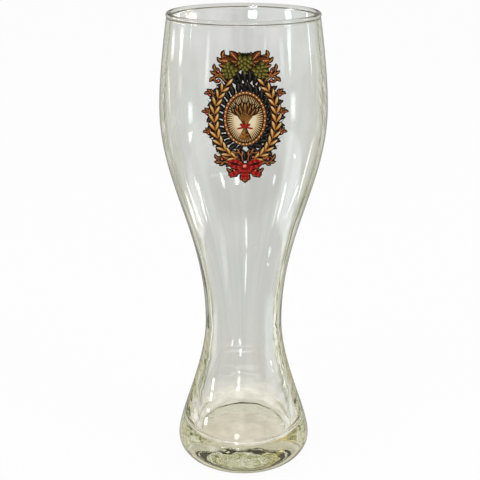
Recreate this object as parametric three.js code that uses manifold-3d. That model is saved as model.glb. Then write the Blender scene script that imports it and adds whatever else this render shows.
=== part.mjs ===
// Tall half-litre wheat-beer glass with a fired enamel print on its front.
// Millimetres, +Z up. The origin is the centre of the standing ring, and the print faces -Y.

import * as THREE from "three";
import { mergeVertices } from "three/addons/utils/BufferGeometryUtils.js";
import Module from "manifold-3d";

const wasm = await Module();
wasm.setup();

// Whole glass
const HEIGHT = 240;
const SIDES = 48;

// Foot: a hollow punt, a narrow flat standing ring and a rounded heel
const PUNT_RADIUS = 28;
const PUNT_RISE = 3.5;
const FOOT_RADIUS = 29;
const HEEL_HEIGHT = 8.4;
const BASE_RADIUS = 36.15;

// Outer wall: base to waist, waist to belly, belly to lip
const BASE_PULL = 12;
const WAIST_HEIGHT = 78.1;
const WAIST_RADIUS = 20.4;
const WAIST_PULL_DOWN = 27.3;
const WAIST_PULL_UP = 49.4;
const BELLY_HEIGHT = 191.5;
const BELLY_RADIUS = 42;
const BELLY_PULL_DOWN = 37.9;
const BELLY_PULL_UP = 15;
const LIP_RADIUS = 37.7;
const LIP_PULL_DOWN = 10;
const LIP_PULL_OUT = 1.5;
const LIP_ROUND = 1.15;
const NECK = 1.7;

// Inside: a thick base with a slightly domed floor, and a wall that thins towards the neck of the lip
const FLOOR_HEIGHT = 13.5;
const FLOOR_RADIUS = 23;
const FLOOR_DOME = 0.6;
const CORNER_HEIGHT = 20;
const WALL_AT_CORNER = 7;
const WALL_FADE = 55;

// Enamel: films laid one over the other on the front of the belly
const PRINT_X = 0.7;
const PRINT_Z = 196.2;
const FILM = 0.1;
const FILM_GAP = 0.05;
const KEYLINE = 0.45;

// Print motifs
const MEDALLION = { z: 0.4, halfWidth: 8.4, halfHeight: 11.2, rim: 1.5, gap: 0.3 };
const WREATH = { halfWidth: 14.3, halfHeight: 19.4, from: -74, to: 52, pairs: 11, stalk: 0.6 };
const GRAIN = { length: 4.8, width: 2.1, lean: 28 };
const SHEAF = { tie: -3.4, stalks: 11, spread: 70, reach: 11.4, foot: 6.4, waist: 0.9 };
const EAR = { length: 4.6, width: 1.75 };
const HOP = { length: 9.2, core: 3.4, rows: 6, bract: 3.1, bractWidth: 2.7, belly: 1.75, open: 30 };
const LEAF = { length: 8.6, width: 4.6, lobes: [[0, 1], [-44, 0.72], [44, 0.72], [-86, 0.48], [86, 0.48]] };
const BOW = { z: -22.4, loop: 8.4, height: 4.8, lift: 14, root: 0.7, tail: 8.6, tailWidth: 2.6, drop: 46 };
const PENDANT = { z: -28.6, halfWidth: 1.3, halfHeight: 2 };

const COLOURS = {
  glass: { color: 0xd9dccf, roughness: 0.03, metalness: 0 },
  charcoal: { color: 0x1d1a18, roughness: 0.35, metalness: 0 },
  cream: { color: 0xf0dfb8, roughness: 0.35, metalness: 0 },
  copper: { color: 0x8a4a22, roughness: 0.32, metalness: 0 },
  gold: { color: 0xc08a3c, roughness: 0.32, metalness: 0 },
  olive: { color: 0x77752c, roughness: 0.35, metalness: 0 },
  red: { color: 0xa81f1c, roughness: 0.32, metalness: 0 },
};

const radians = THREE.MathUtils.degToRad;
const point = (x, y) => new THREE.Vector2(x, y);

// Angle under the middle of the bead of the lip where the wall runs into it
const BEAD_TURN = Math.acos(NECK / 2 / LIP_ROUND);

// Outer wall of the glass from the top of the heel to the neck of the lip
function outerWall() {
  const lipBottom = HEIGHT - LIP_ROUND * (1 + Math.sin(BEAD_TURN));
  const neckRadius = LIP_RADIUS - LIP_ROUND + NECK / 2;
  const base = new THREE.CubicBezierCurve(
    point(BASE_RADIUS, HEEL_HEIGHT),
    point(BASE_RADIUS, HEEL_HEIGHT + BASE_PULL),
    point(WAIST_RADIUS, WAIST_HEIGHT - WAIST_PULL_DOWN),
    point(WAIST_RADIUS, WAIST_HEIGHT),
  );
  const flare = new THREE.CubicBezierCurve(
    point(WAIST_RADIUS, WAIST_HEIGHT),
    point(WAIST_RADIUS, WAIST_HEIGHT + WAIST_PULL_UP),
    point(BELLY_RADIUS, BELLY_HEIGHT - BELLY_PULL_DOWN),
    point(BELLY_RADIUS, BELLY_HEIGHT),
  );
  const shoulder = new THREE.CubicBezierCurve(
    point(BELLY_RADIUS, BELLY_HEIGHT),
    point(BELLY_RADIUS, BELLY_HEIGHT + BELLY_PULL_UP),
    point(neckRadius + LIP_PULL_OUT, lipBottom - LIP_PULL_DOWN),
    point(neckRadius, lipBottom),
  );
  return [...base.getPoints(10), ...flare.getPoints(14).slice(1), ...shoulder.getPoints(7).slice(1)];
}

// Radius of a wall at a height, read between its stations
function radiusAt(wall, height) {
  const above = wall.findIndex((p) => p.y >= height);
  const low = wall[above - 1];
  const high = wall[above];
  return THREE.MathUtils.mapLinear(height, low.y, high.y, low.x, high.x);
}

// Glass thickness at a height
function wallThickness(height) {
  const fade = Math.exp((CORNER_HEIGHT - height) / WALL_FADE);
  return NECK + (WALL_AT_CORNER - NECK) * fade;
}

function puntAndHeel() {
  const punt = [0, 1, 2, 3].map((i) => {
    const share = i / 4;
    return point(PUNT_RADIUS * share, PUNT_RISE * (1 - share * share));
  });
  const heel = new THREE.EllipseCurve(
    FOOT_RADIUS, HEEL_HEIGHT, BASE_RADIUS - FOOT_RADIUS, HEEL_HEIGHT, -Math.PI / 2, 0,
  );
  return [...punt, point(PUNT_RADIUS, 0), ...heel.getPoints(5).slice(0, -1)];
}

// Round bead along the lip, a little thicker than the wall under it
function lip() {
  const round = new THREE.EllipseCurve(
    LIP_RADIUS - LIP_ROUND, HEIGHT - LIP_ROUND, LIP_ROUND, LIP_ROUND, -BEAD_TURN, Math.PI + BEAD_TURN,
  );
  return round.getPoints(9).slice(1);
}

// Inner wall from the lip down, the corner and the floor to the axis
function inside(outer) {
  const wall = outer
    .filter((p) => p.y > CORNER_HEIGHT + 2 && p.y < HEIGHT - 2 * LIP_ROUND)
    .reverse()
    .map((p) => point(p.x - wallThickness(p.y), p.y));
  const cornerRadius = radiusAt(outer, CORNER_HEIGHT) - wallThickness(CORNER_HEIGHT);
  const drop = CORNER_HEIGHT - FLOOR_HEIGHT;
  const corner = new THREE.CubicBezierCurve(
    point(cornerRadius, CORNER_HEIGHT),
    point(cornerRadius + drop * 0.12, CORNER_HEIGHT - drop * 0.55),
    point(FLOOR_RADIUS + (cornerRadius - FLOOR_RADIUS) * 0.6, FLOOR_HEIGHT),
    point(FLOOR_RADIUS, FLOOR_HEIGHT),
  );
  return [...wall, ...corner.getPoints(5), point(FLOOR_RADIUS / 2, FLOOR_HEIGHT + FLOOR_DOME * 0.75),
    point(0, FLOOR_HEIGHT + FLOOR_DOME)];
}

// Revolves a profile of radius and height about the Z axis
function revolve(profile) {
  const geometry = new THREE.LatheGeometry(profile, SIDES);
  geometry.rotateX(Math.PI / 2);
  return geometry;
}

function solidOf(geometry) {
  geometry.deleteAttribute("normal");
  geometry.deleteAttribute("uv");
  const merged = mergeVertices(geometry);
  return new wasm.Manifold(
    new wasm.Mesh({
      numProp: 3,
      vertProperties: merged.attributes.position.array,
      triVerts: new Uint32Array(merged.index.array),
    }),
  );
}

function geometryOf(solid) {
  const mesh = solid.getMesh();
  const geometry = new THREE.BufferGeometry();
  geometry.setAttribute("position", new THREE.BufferAttribute(mesh.vertProperties, 3));
  geometry.setIndex(new THREE.BufferAttribute(mesh.triVerts, 1));
  const flat = geometry.toNonIndexed();
  flat.computeVertexNormals();
  return flat;
}

// A sleeve of enamel one film thick, which follows the glass at the given layer
function film(outer, layer) {
  const near = FILM_GAP + (layer - 1) * (FILM + FILM_GAP);
  const band = outer.filter((p) => Math.abs(p.y - PRINT_Z) < 42);
  const inner = band.map((p) => point(p.x + near, p.y));
  const outerSide = band.map((p) => point(p.x + near + FILM, p.y));
  return solidOf(revolve([inner[0], ...outerSide, ...inner.reverse()]));
}

// Prism through the front of the glass with the outline of each shape, joined into one cutter
function cutter(shapes) {
  const prisms = shapes.map((shape) => {
    const geometry = new THREE.ExtrudeGeometry(shape, {
      depth: BELLY_RADIUS, bevelEnabled: false, curveSegments: 4, steps: 1,
    });
    geometry.rotateX(Math.PI / 2);
    geometry.translate(PRINT_X, -10, PRINT_Z);
    return solidOf(geometry);
  });
  return prisms.reduce((joined, prism) => joined.add(prism));
}

// Places a shape drawn along +X, turned by an angle in degrees and moved to x, z
function placed(points, x, z, angle) {
  const turn = radians(angle);
  return new THREE.Shape(points.map((p) => p.clone().rotateAround(point(0, 0), turn).add(point(x, z))));
}

function ellipse(x, z, halfWidth, halfHeight, count) {
  const curve = new THREE.EllipseCurve(x, z, halfWidth, halfHeight, 0, 2 * Math.PI);
  return new THREE.Shape(curve.getPoints(count).slice(0, -1));
}

// Pointed oval such as a grain, bract or ear, from its root to its tip
// A bulge over 1 puts its widest place past the middle.
function lens(x, z, angle, { length, width, bulge = 1 }, grow = 0) {
  const full = length + 2 * grow;
  const half = width / 2 + grow;
  const steps = 4;
  const upper = [];
  for (let i = 0; i < steps; i += 1) {
    const share = i / steps;
    upper.push(point(full * share - grow, half * Math.sin(Math.PI * share ** bulge) ** 0.8));
  }
  const lower = upper.slice(1).map((p) => point(p.x, -p.y)).reverse();
  return placed([...upper, point(full - grow, 0), ...lower], x, z, angle);
}

// Straight strip from x, z with the same width all along
function blade(x, z, angle, length, width) {
  const half = width / 2;
  const corners = [point(0, -half), point(length, -half), point(length, half), point(0, half)];
  return placed(corners, x, z, angle);
}

// Points of a line that starts at x, z with a heading in degrees and bends evenly
function bent(x, z, angle, length, bend, steps) {
  const points = [point(x, z)];
  for (let i = 0; i < steps; i += 1) {
    const heading = radians(angle + (bend * (i + 0.5)) / steps);
    const step = length / steps;
    points.push(point(points[i].x + step * Math.cos(heading), points[i].y + step * Math.sin(heading)));
  }
  return points;
}

// Strip along a path, with a half-width for each of its points
function ribbon(path, halves, grow = 0) {
  const left = [];
  const right = [];
  path.forEach((here, i) => {
    const before = path[Math.max(i - 1, 0)];
    const after = path[Math.min(i + 1, path.length - 1)];
    const along = after.clone().sub(before).normalize();
    const half = halves[i] + grow;
    left.push(point(here.x - along.y * half, here.y + along.x * half));
    right.push(point(here.x + along.y * half, here.y - along.x * half));
  });
  return new THREE.Shape([...right, ...left.reverse()]);
}

const scaled = (motif, size) => ({ ...motif, length: motif.length * size, width: motif.width * size });

// Point and heading on the oval that a branch of the wreath follows, side 1 right and -1 left
function onWreath(side, angle) {
  const a = radians(angle);
  const x = side * WREATH.halfWidth * Math.cos(a);
  const z = WREATH.halfHeight * Math.sin(a);
  const heading = Math.atan2(WREATH.halfHeight * Math.cos(a), -side * WREATH.halfWidth * Math.sin(a));
  return { x, z, heading: THREE.MathUtils.radToDeg(heading) };
}

// Ear of barley: a stalk with grains in pairs, which are largest halfway up, and one at the tip
function barley(side, grow = 0) {
  const shapes = [];
  const step = (WREATH.to - WREATH.from) / WREATH.pairs;
  for (let i = 0; i < WREATH.pairs; i += 1) {
    const here = onWreath(side, WREATH.from + i * step);
    const next = onWreath(side, WREATH.from + (i + 1) * step);
    const length = Math.hypot(next.x - here.x, next.z - here.z);
    const heading = THREE.MathUtils.radToDeg(Math.atan2(next.z - here.z, next.x - here.x));
    const width = WREATH.stalk + 2 * grow;
    shapes.push(blade(here.x, here.z, heading, length + width / 2, width));
    const size = 0.86 + 0.14 * Math.sin((Math.PI * (i + 1)) / WREATH.pairs);
    for (const edge of [-1, 1]) {
      shapes.push(lens(here.x, here.z, here.heading + edge * GRAIN.lean, scaled(GRAIN, size), grow));
    }
  }
  const end = onWreath(side, WREATH.to);
  shapes.push(lens(end.x, end.z, end.heading, scaled(GRAIN, 0.95), grow));
  return shapes;
}

// Hop cone that hangs from x, z: rows of bracts over a core, which close in towards the tip
function hopCone(x, z, angle, grow = 0) {
  const shapes = [lens(x, z, angle, { length: HOP.length, width: HOP.core }, grow)];
  const bract = { length: HOP.bract, width: HOP.bractWidth, bulge: 1.25 };
  const turn = radians(angle);
  for (let row = 0; row < HOP.rows; row += 1) {
    const share = row / HOP.rows;
    const along = (HOP.length - HOP.bract) * share;
    const belly = HOP.belly * Math.sin(Math.PI * (0.22 + 0.72 * share));
    const edges = row % 2 === 0 ? [-1, 1] : [-0.55, 0.55];
    for (const edge of edges) {
      const rootX = x + along * Math.cos(turn) - edge * belly * Math.sin(turn);
      const rootZ = z + along * Math.sin(turn) + edge * belly * Math.cos(turn);
      const open = edge * HOP.open * (1 - 0.5 * share);
      shapes.push(lens(rootX, rootZ, angle + open, scaled(bract, 1 - 0.22 * share), grow));
    }
  }
  return shapes;
}

// Hop leaf with five lobes
function hopLeaf(x, z, angle, grow = 0) {
  const lobe = { length: LEAF.length, width: LEAF.width, bulge: 1.2 };
  return LEAF.lobes.map(([turn, share]) => lens(x, z, angle + turn, scaled(lobe, share), grow));
}

// Sheaf: a bundle of stalks that fans out above and below the tie, with an ear at each top end
function sheaf() {
  const tie = MEDALLION.z + SHEAF.tie;
  const shapes = [];
  const top = [];
  const foot = [];
  for (let i = 0; i < SHEAF.stalks; i += 1) {
    const lean = (i / (SHEAF.stalks - 1) - 0.5) * SHEAF.spread;
    const short = 0.1 * (i % 2);
    const reach = SHEAF.reach * (1 - 0.26 * Math.abs(lean / SHEAF.spread) - short);
    const tip = bent(0, tie, 90 - lean * 0.7, reach - EAR.length + 0.4, -lean * 0.5, 6)[6];
    const up = radians(90 - lean * 1.15);
    const down = radians(-90 + lean * 0.62);
    const fall = SHEAF.foot * (1 - short);
    shapes.push(lens(tip.x, tip.y, 90 - lean * 1.15, EAR));
    top.push(point(tip.x + Math.cos(up), tip.y + Math.sin(up)));
    foot.push(point(fall * Math.cos(down), tie + fall * Math.sin(down)));
  }
  const bundle = [...top, point(SHEAF.waist, tie), ...foot.reverse(), point(-SHEAF.waist, tie)];
  return [...shapes, new THREE.Shape(bundle)];
}

function sheafBand() {
  return [ellipse(0, MEDALLION.z + SHEAF.tie, 1.7, 0.95, 10)];
}

function medallionRim() {
  const { z, halfWidth, halfHeight, rim } = MEDALLION;
  const ring = ellipse(0, z, halfWidth + rim, halfHeight + rim, 48);
  const hole = new THREE.EllipseCurve(0, z, halfWidth, halfHeight, 0, 2 * Math.PI);
  ring.holes.push(new THREE.Path(hole.getPoints(48).slice(0, -1)));
  return [ring];
}

function medallionField() {
  const { z, halfWidth, halfHeight, gap } = MEDALLION;
  return [ellipse(0, z, halfWidth - gap, halfHeight - gap, 40)];
}

// Ribbon bow: two loops, two pairs of bent tails, and a knot
function bow(grow = 0) {
  const shapes = [ellipse(0, BOW.z, 1.5 + grow, 1.35 + grow, 10)];
  const loop = { length: BOW.loop, width: BOW.height, bulge: 1.25 };
  const tails = [
    { drop: BOW.drop, bend: 26, length: BOW.tail },
    { drop: BOW.drop + 26, bend: -20, length: BOW.tail * 0.8 },
  ];
  for (const side of [-1, 1]) {
    const outwards = side > 0 ? 0 : 180;
    shapes.push(lens(0, BOW.z, outwards + side * BOW.lift, loop, grow));
    for (const { drop, bend, length } of tails) {
      const path = bent(0, BOW.z, outwards - side * drop, length + grow, side * bend, 5);
      const halves = path.map((_, i) => THREE.MathUtils.lerp(BOW.root, BOW.tailWidth / 2, i / 5));
      shapes.push(ribbon(path, halves, grow));
    }
  }
  return shapes;
}

function pendant(grow = 0) {
  return [ellipse(0, PENDANT.z, PENDANT.halfWidth + grow, PENDANT.halfHeight + grow, 10)];
}

// Places of the hop cones and leaves above the medallion
const CONES = {
  left: { x: -4.6, z: 25.4, angle: -128, layer: 3 },
  middle: { x: 0, z: 29.8, angle: -90, layer: 4 },
  right: { x: 4.6, z: 25.4, angle: -52, layer: 3 },
};
const LEAVES = {
  left: { x: -2.6, z: 26, angle: 176 },
  right: { x: 2.6, z: 26, angle: 4 },
};

// Scrolls of the dark ground on the right half, each with its heading and bend in degrees
const SCROLLS = [
  { x: 6, z: 23.2, angle: 14, length: 12, turn: 300, half: 0.42 },
  { x: 9, z: 17.4, angle: 50, length: 9.5, turn: -300, half: 0.38 },
  { x: 9.8, z: 20.4, angle: -14, length: 8.4, turn: 330, half: 0.32 },
  { x: 14.5, z: 10.4, angle: 66, length: 4.4, turn: -280, half: 0.24 },
  { x: 16.2, z: 1.6, angle: 74, length: 4, turn: -280, half: 0.22 },
  { x: 15.6, z: -7.4, angle: 66, length: 4, turn: -280, half: 0.22 },
  { x: 3, z: -21.2, angle: 6, length: 14, turn: 310, half: 0.44 },
  { x: 8, z: -19.6, angle: -34, length: 9, turn: 320, half: 0.34 },
  { x: 2.4, z: -24.2, angle: -52, length: 8.4, turn: 320, half: 0.32 },
];
const SCROLL_STEPS = 14;

// Scroll whose bend tightens towards its end, where it closes in a berry
function scroll(side, { x, z, angle, length, turn, half }, grow) {
  const outwards = side > 0 ? angle : 180 - angle;
  const path = [point(side * x, z)];
  for (let i = 0; i < SCROLL_STEPS; i += 1) {
    const bend = turn * ((i + 0.5) / SCROLL_STEPS) ** 2.1;
    const heading = radians(outwards + side * bend);
    const step = length / SCROLL_STEPS;
    path.push(point(path[i].x + step * Math.cos(heading), path[i].y + step * Math.sin(heading)));
  }
  const halves = path.map((_, i) => half * (1 - (0.55 * i) / SCROLL_STEPS));
  const end = path[SCROLL_STEPS];
  const berry = 0.8 * (0.45 + half) + grow;
  const shapes = [ellipse(end.x, end.y, berry, berry, 8)];
  for (let i = 0; i < SCROLL_STEPS; i += 2) {
    shapes.push(ribbon(path.slice(i, i + 3), halves.slice(i, i + 3), grow));
  }
  return shapes;
}

// Dark keyline film under the whole print: every motif a little enlarged, over an oval ground
function backing() {
  const ground = ellipse(0, 0, WREATH.halfWidth - 0.6, WREATH.halfHeight - 0.4, 48);
  const top = ellipse(0, 22.4, 5.2, 3.6, 16);
  const foot = ellipse(0, -23.6, 5.4, 5.2, 16);
  const shapes = [ground, top, foot, ...barley(1, KEYLINE), ...barley(-1, KEYLINE), ...bow(KEYLINE)];
  for (const place of Object.values(CONES)) {
    shapes.push(...hopCone(place.x, place.z, place.angle, KEYLINE));
  }
  for (const place of Object.values(LEAVES)) {
    shapes.push(...hopLeaf(place.x, place.z, place.angle, KEYLINE));
  }
  for (const row of SCROLLS) {
    shapes.push(...scroll(1, row, KEYLINE), ...scroll(-1, row, KEYLINE));
  }
  shapes.push(...pendant(KEYLINE));
  return shapes;
}

const model = new THREE.Group();

function addMesh(name, geometry, colour) {
  const mesh = new THREE.Mesh(geometry, new THREE.MeshStandardMaterial(COLOURS[colour]));
  mesh.name = name;
  model.add(mesh);
}

function addPrint(name, shapes, layer, colour, sleeves) {
  const solid = sleeves[layer - 1].intersect(cutter(shapes));
  addMesh(name, geometryOf(solid), colour);
}

function build() {
  const outer = outerWall();
  addMesh("glass_vessel", revolve([...puntAndHeel(), ...outer, ...lip(), ...inside(outer)]), "glass");

  const sleeves = [1, 2, 3, 4].map((layer) => film(outer, layer));
  addPrint("print_backing", backing(), 1, "charcoal", sleeves);
  addPrint("print_medallion_field", medallionField(), 2, "cream", sleeves);
  addPrint("print_medallion_rim", medallionRim(), 2, "copper", sleeves);
  addPrint("print_sheaf", sheaf(), 3, "gold", sleeves);
  addPrint("print_sheaf_band", sheafBand(), 4, "red", sleeves);
  addPrint("print_barley_right", barley(1), 2, "gold", sleeves);
  addPrint("print_barley_left", barley(-1), 2, "gold", sleeves);
  for (const [side, place] of Object.entries(CONES)) {
    addPrint(`print_hop_${side}`, hopCone(place.x, place.z, place.angle), place.layer, "olive", sleeves);
  }
  for (const [side, place] of Object.entries(LEAVES)) {
    addPrint(`print_leaf_${side}`, hopLeaf(place.x, place.z, place.angle), 2, "copper", sleeves);
  }
  addPrint("print_bow", bow(), 3, "red", sleeves);
  addPrint("print_pendant", pendant(), 2, "gold", sleeves);
}

build();

export default model;
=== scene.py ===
import math

import bmesh
import bpy
from bpy.props import FloatProperty, FloatVectorProperty, IntProperty, PointerProperty
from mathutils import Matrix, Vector
from mathutils.geometry import delaunay_2d_cdt


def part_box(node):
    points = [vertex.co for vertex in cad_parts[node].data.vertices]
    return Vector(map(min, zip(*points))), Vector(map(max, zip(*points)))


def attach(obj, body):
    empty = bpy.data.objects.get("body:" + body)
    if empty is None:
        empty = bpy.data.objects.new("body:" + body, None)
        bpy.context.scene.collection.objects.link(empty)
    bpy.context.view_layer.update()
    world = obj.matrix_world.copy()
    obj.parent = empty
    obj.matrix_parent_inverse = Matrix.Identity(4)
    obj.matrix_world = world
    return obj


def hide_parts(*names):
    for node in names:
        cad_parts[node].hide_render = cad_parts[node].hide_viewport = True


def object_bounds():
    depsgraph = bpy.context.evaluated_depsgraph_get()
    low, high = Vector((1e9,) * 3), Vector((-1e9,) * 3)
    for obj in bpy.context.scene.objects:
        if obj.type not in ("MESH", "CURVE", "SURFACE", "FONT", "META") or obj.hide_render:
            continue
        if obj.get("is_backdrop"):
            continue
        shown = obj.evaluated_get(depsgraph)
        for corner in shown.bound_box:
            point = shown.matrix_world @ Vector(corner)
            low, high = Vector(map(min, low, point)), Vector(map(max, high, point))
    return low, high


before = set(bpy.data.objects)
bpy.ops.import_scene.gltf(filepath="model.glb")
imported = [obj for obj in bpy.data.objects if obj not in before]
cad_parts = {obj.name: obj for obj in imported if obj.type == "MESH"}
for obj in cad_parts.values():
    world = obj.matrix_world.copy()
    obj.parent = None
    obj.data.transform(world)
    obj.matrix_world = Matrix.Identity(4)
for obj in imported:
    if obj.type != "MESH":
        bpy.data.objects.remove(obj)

bl_info = {
    "name": "Printed wheat-beer glass",
    "version": (1, 0, 0),
    "blender": (4, 5, 0),
    "location": "3D View > Sidebar > Beer glass",
    "description": "Makes a tall printed beer glass over its packed frame",
    "category": "Add Mesh",
}

# The frame, and the sizes read from it
MM = 0.001
CAD_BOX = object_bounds()
_, GLASS_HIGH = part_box("glass_vessel")
HEIGHT = GLASS_HIGH.z
BELLY = GLASS_HIGH.x
BODY = "root"

# The photograph's frame in its pixels, and the camera's sensor in millimetres
PHOTO_SIZE = 480
PHOTO_AXIS_X = 243.55
SENSOR = 36.0

# What glass shows of the room over the backdrop and beside it, from dark patches to light ones
ROOM_STOPS = (
    (0.30, (0.035, 0.05, 0.015)),
    (0.40, (0.20, 0.215, 0.08)),
    (0.47, (0.53, 0.53, 0.31)),
    (0.55, (0.88, 0.87, 0.69)),
    (0.62, (1.0, 1.0, 0.97)),
)
# The dark strip of the room just over the horizon
STRIP_STOPS = (
    (0.00, (0.015, 0.020, 0.010)),
    (0.45, (0.035, 0.045, 0.016)),
    (0.58, (0.20, 0.12, 0.03)),
    (0.66, (0.10, 0.11, 0.04)),
    (1.00, (0.40, 0.40, 0.30)),
)


def length(name, text, default):
    return FloatProperty(name=name, description=text, default=default, unit="LENGTH", precision=5)


def shade(name, text, default):
    return FloatVectorProperty(name=name, description=text, default=default, size=3, subtype="COLOR",
                               min=0.0, max=1.0)


def number(name, text, default):
    return FloatProperty(name=name, description=text, default=default, precision=4)


def count(name, text, default):
    return IntProperty(name=name, description=text, default=default, min=1)


def angle_value(name, text, default):
    return FloatProperty(name=name, description=text, default=default, subtype="ANGLE")


class GlassShape(bpy.types.PropertyGroup):
    """Outline of the vessel, as radii, heights and the pulls of its curves"""

    punt_radius: length("Punt radius", "Hollow under the base", 28 * MM)
    punt_rise: length("Punt rise", "Height of the hollow at the axis", 3.5 * MM)
    foot_radius: length("Foot radius", "Outer edge of the standing ring", 29 * MM)
    heel_height: length("Heel height", "Top of the rounded heel", 8.4 * MM)
    base_radius: length("Base radius", "Widest place of the base", 36.15 * MM)
    base_pull: length("Base pull", "Curve handle above the heel", 12 * MM)
    waist_height: length("Waist height", "Height of the narrowest place", 78.1 * MM)
    waist_radius: length("Waist radius", "Radius of the narrowest place", 20.4 * MM)
    waist_pull_down: length("Waist pull down", "Curve handle below the waist", 27.3 * MM)
    waist_pull_up: length("Waist pull up", "Curve handle above the waist", 49.4 * MM)
    belly_height: length("Belly height", "Height of the widest place", 191.5 * MM)
    belly_pull_down: length("Belly pull down", "Curve handle below the belly", 37.9 * MM)
    belly_pull_up: length("Belly pull up", "Curve handle above the belly", 15 * MM)
    lip_radius: length("Lip radius", "Outer radius of the lip", 37.7 * MM)
    lip_pull_down: length("Lip pull down", "Curve handle below the lip", 10 * MM)
    lip_pull_out: length("Lip pull out", "How far that handle stands out", 1.5 * MM)
    lip_round: length("Lip round", "Radius of the bead of the lip", 1.15 * MM)
    neck: length("Neck", "Glass thickness just under the bead", 1.7 * MM)
    floor_height: length("Floor height", "Inner floor at its edge", 13.5 * MM)
    floor_radius: length("Floor radius", "Where the floor turns into the corner", 23 * MM)
    floor_dome: length("Floor dome", "Rise of the floor at the axis", 0.6 * MM)
    corner_height: length("Corner height", "Where the corner turns into the wall", 20 * MM)
    wall_at_corner: length("Wall at corner", "Glass thickness at the base corner", 7 * MM)
    wall_fade: length("Wall fade", "Height over which the wall thins", 55 * MM)
    ripple: length("Ripple", "Long waves of the inner wall", 0.1 * MM)
    rings: length("Rings", "Level rings of the thick lower wall", 0.12 * MM)
    outer_rings: number("Outer rings", "Share of the rings on the outer wall", 0.75)
    dimples: length("Dimples", "Mottling of the punt and the floor", 0.14 * MM)
    sides: count("Sides", "Steps round the axis", 192)


class PrintLayout(bpy.types.PropertyGroup):
    """Place and thickness of the fired print"""

    across: length("Across", "Middle of the print, to the right of the front", 0.7 * MM)
    up: length("Up", "Height of the middle of the print", 196.2 * MM)
    lift: length("Lift", "Gap between the glass and the lowest film", 0.015 * MM)
    step: length("Step", "Lift of each level over the one below", 0.02 * MM)
    film: length("Film", "Thickness of a film", 0.008 * MM)
    keyline: length("Keyline", "Width of the dark edge round each motif", 0.45 * MM)


class GlassFinish(bpy.types.PropertyGroup):
    """Colour and clearness of the glass, and the shade painted where it is seen edge-on"""

    tint: shade("Tint", "Colour that one wall lets through", (0.965, 0.968, 0.962))
    # Painted shade: the next five values darken the wall where it turns away from the eye, first as a tint
    # and then as a dark line along its edge
    edge_shade_tint: shade("Edge tint", "Colour of the wall seen along its surface", (0.16, 0.165, 0.08))
    edge_shade_start: number("Edge start", "Turn away from the eye where the edge tint starts", 0.66)
    painted_edge_line: shade("Edge line", "Colour of the glass where it is seen edge-on", (0.085, 0.095, 0.035))
    painted_line_start: number("Line start", "Turn away from the eye where the edge line starts", 0.80)
    painted_line_share: number("Edge share", "How strongly the edge line shows", 0.68)
    worn: number("Worn", "Roughness of the underside", 0.015)
    scuff_share: number("Scuff share", "Part of the underside that scuffs cover", 0.14)
    scuff_colour: shade("Scuff colour", "Colour of those scuffs", (0.66, 0.67, 0.42))
    worn_height: length("Worn height", "Height up to which the underside is worn", 4 * MM)
    depth_colour: shade("Depth colour", "Colour that deep glass keeps", (0.70, 0.69, 0.45))
    depth_density: number("Depth density", "Strength of the depth colour per metre", 14.0)
    refraction: number("Refraction", "Index of refraction of soda-lime glass", 1.52)


class StageSet(bpy.types.PropertyGroup):
    """Camera, floor, room and lamps"""

    camera_distance: length("Camera distance", "From the axis of the glass", 480 * MM)
    camera_rise: length("Camera rise", "Above the lip", 57.6 * MM)
    camera_tilt: angle_value("Camera tilt", "Downward tilt", 0.35)
    focal_pixels: number("Focal length", "In pixels of the photograph", 974.0)
    background: shade("Background", "Floor and backdrop", (1.0, 1.0, 1.0))
    behind: shade("Behind", "Backdrop as seen through the glass", (0.64, 0.645, 0.63))
    far_behind: shade("Far behind", "The same backdrop further off", (0.70, 0.705, 0.70))
    far_start: length("Far start", "From the axis to where that colour starts", 350 * MM)
    side_start: number("Side start", "Bearing beyond which glass shows the room beside the backdrop", 0.42)
    near_foot: shade("Near foot", "Floor round the foot, as seen through the glass", (0.96, 0.92, 0.85))
    near_radius: length("Near radius", "Outer edge of the floor round the foot", 76 * MM)
    under_foot: shade("Under foot", "Floor under the glass, as seen through it", (0.85, 0.775, 0.67))
    under_radius: length("Under radius", "Outer edge of the floor under the glass", 31 * MM)
    horizon: shade("Horizon", "Room below the dark strip", (0.95, 0.945, 0.92))
    warm_lamp: shade("Warm lamp", "Gold light of the room at one side", (1.0, 0.72, 0.22))
    overhead: shade("Overhead", "Room high over the glass", (0.95, 0.93, 0.86))
    overhead_start: number("Overhead start", "Sine of the elevation where that colour starts", 0.74)
    strip_low: number("Strip start", "Sine of the elevation where the dark strip starts", 0.18)
    strip_high: number("Strip end", "Sine of the elevation where the dark strip ends", 0.41)
    room_light: number("Room light", "Soft light from all round", 0.55)
    soft_light: number("Soft light", "Brightness of the two soft lamps", 2.0)
    card_reach: length("Card reach", "From the near wall to the cards that it mirrors", 600 * MM)
    inner_reach: length("Inner reach", "From the far wall to the cards inside the bowl", 7 * MM)


def math_node(operation, swapped=False):
    """Makes a method of Wire that adds a Math node. A reflected form has its two values swapped."""
    def method(self, other=0.0):
        first, second = (other, self) if swapped else (self, other)
        return self.graph.node("ShaderNodeMath", {"operation": operation}, {0: first, 1: second})
    return method


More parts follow.
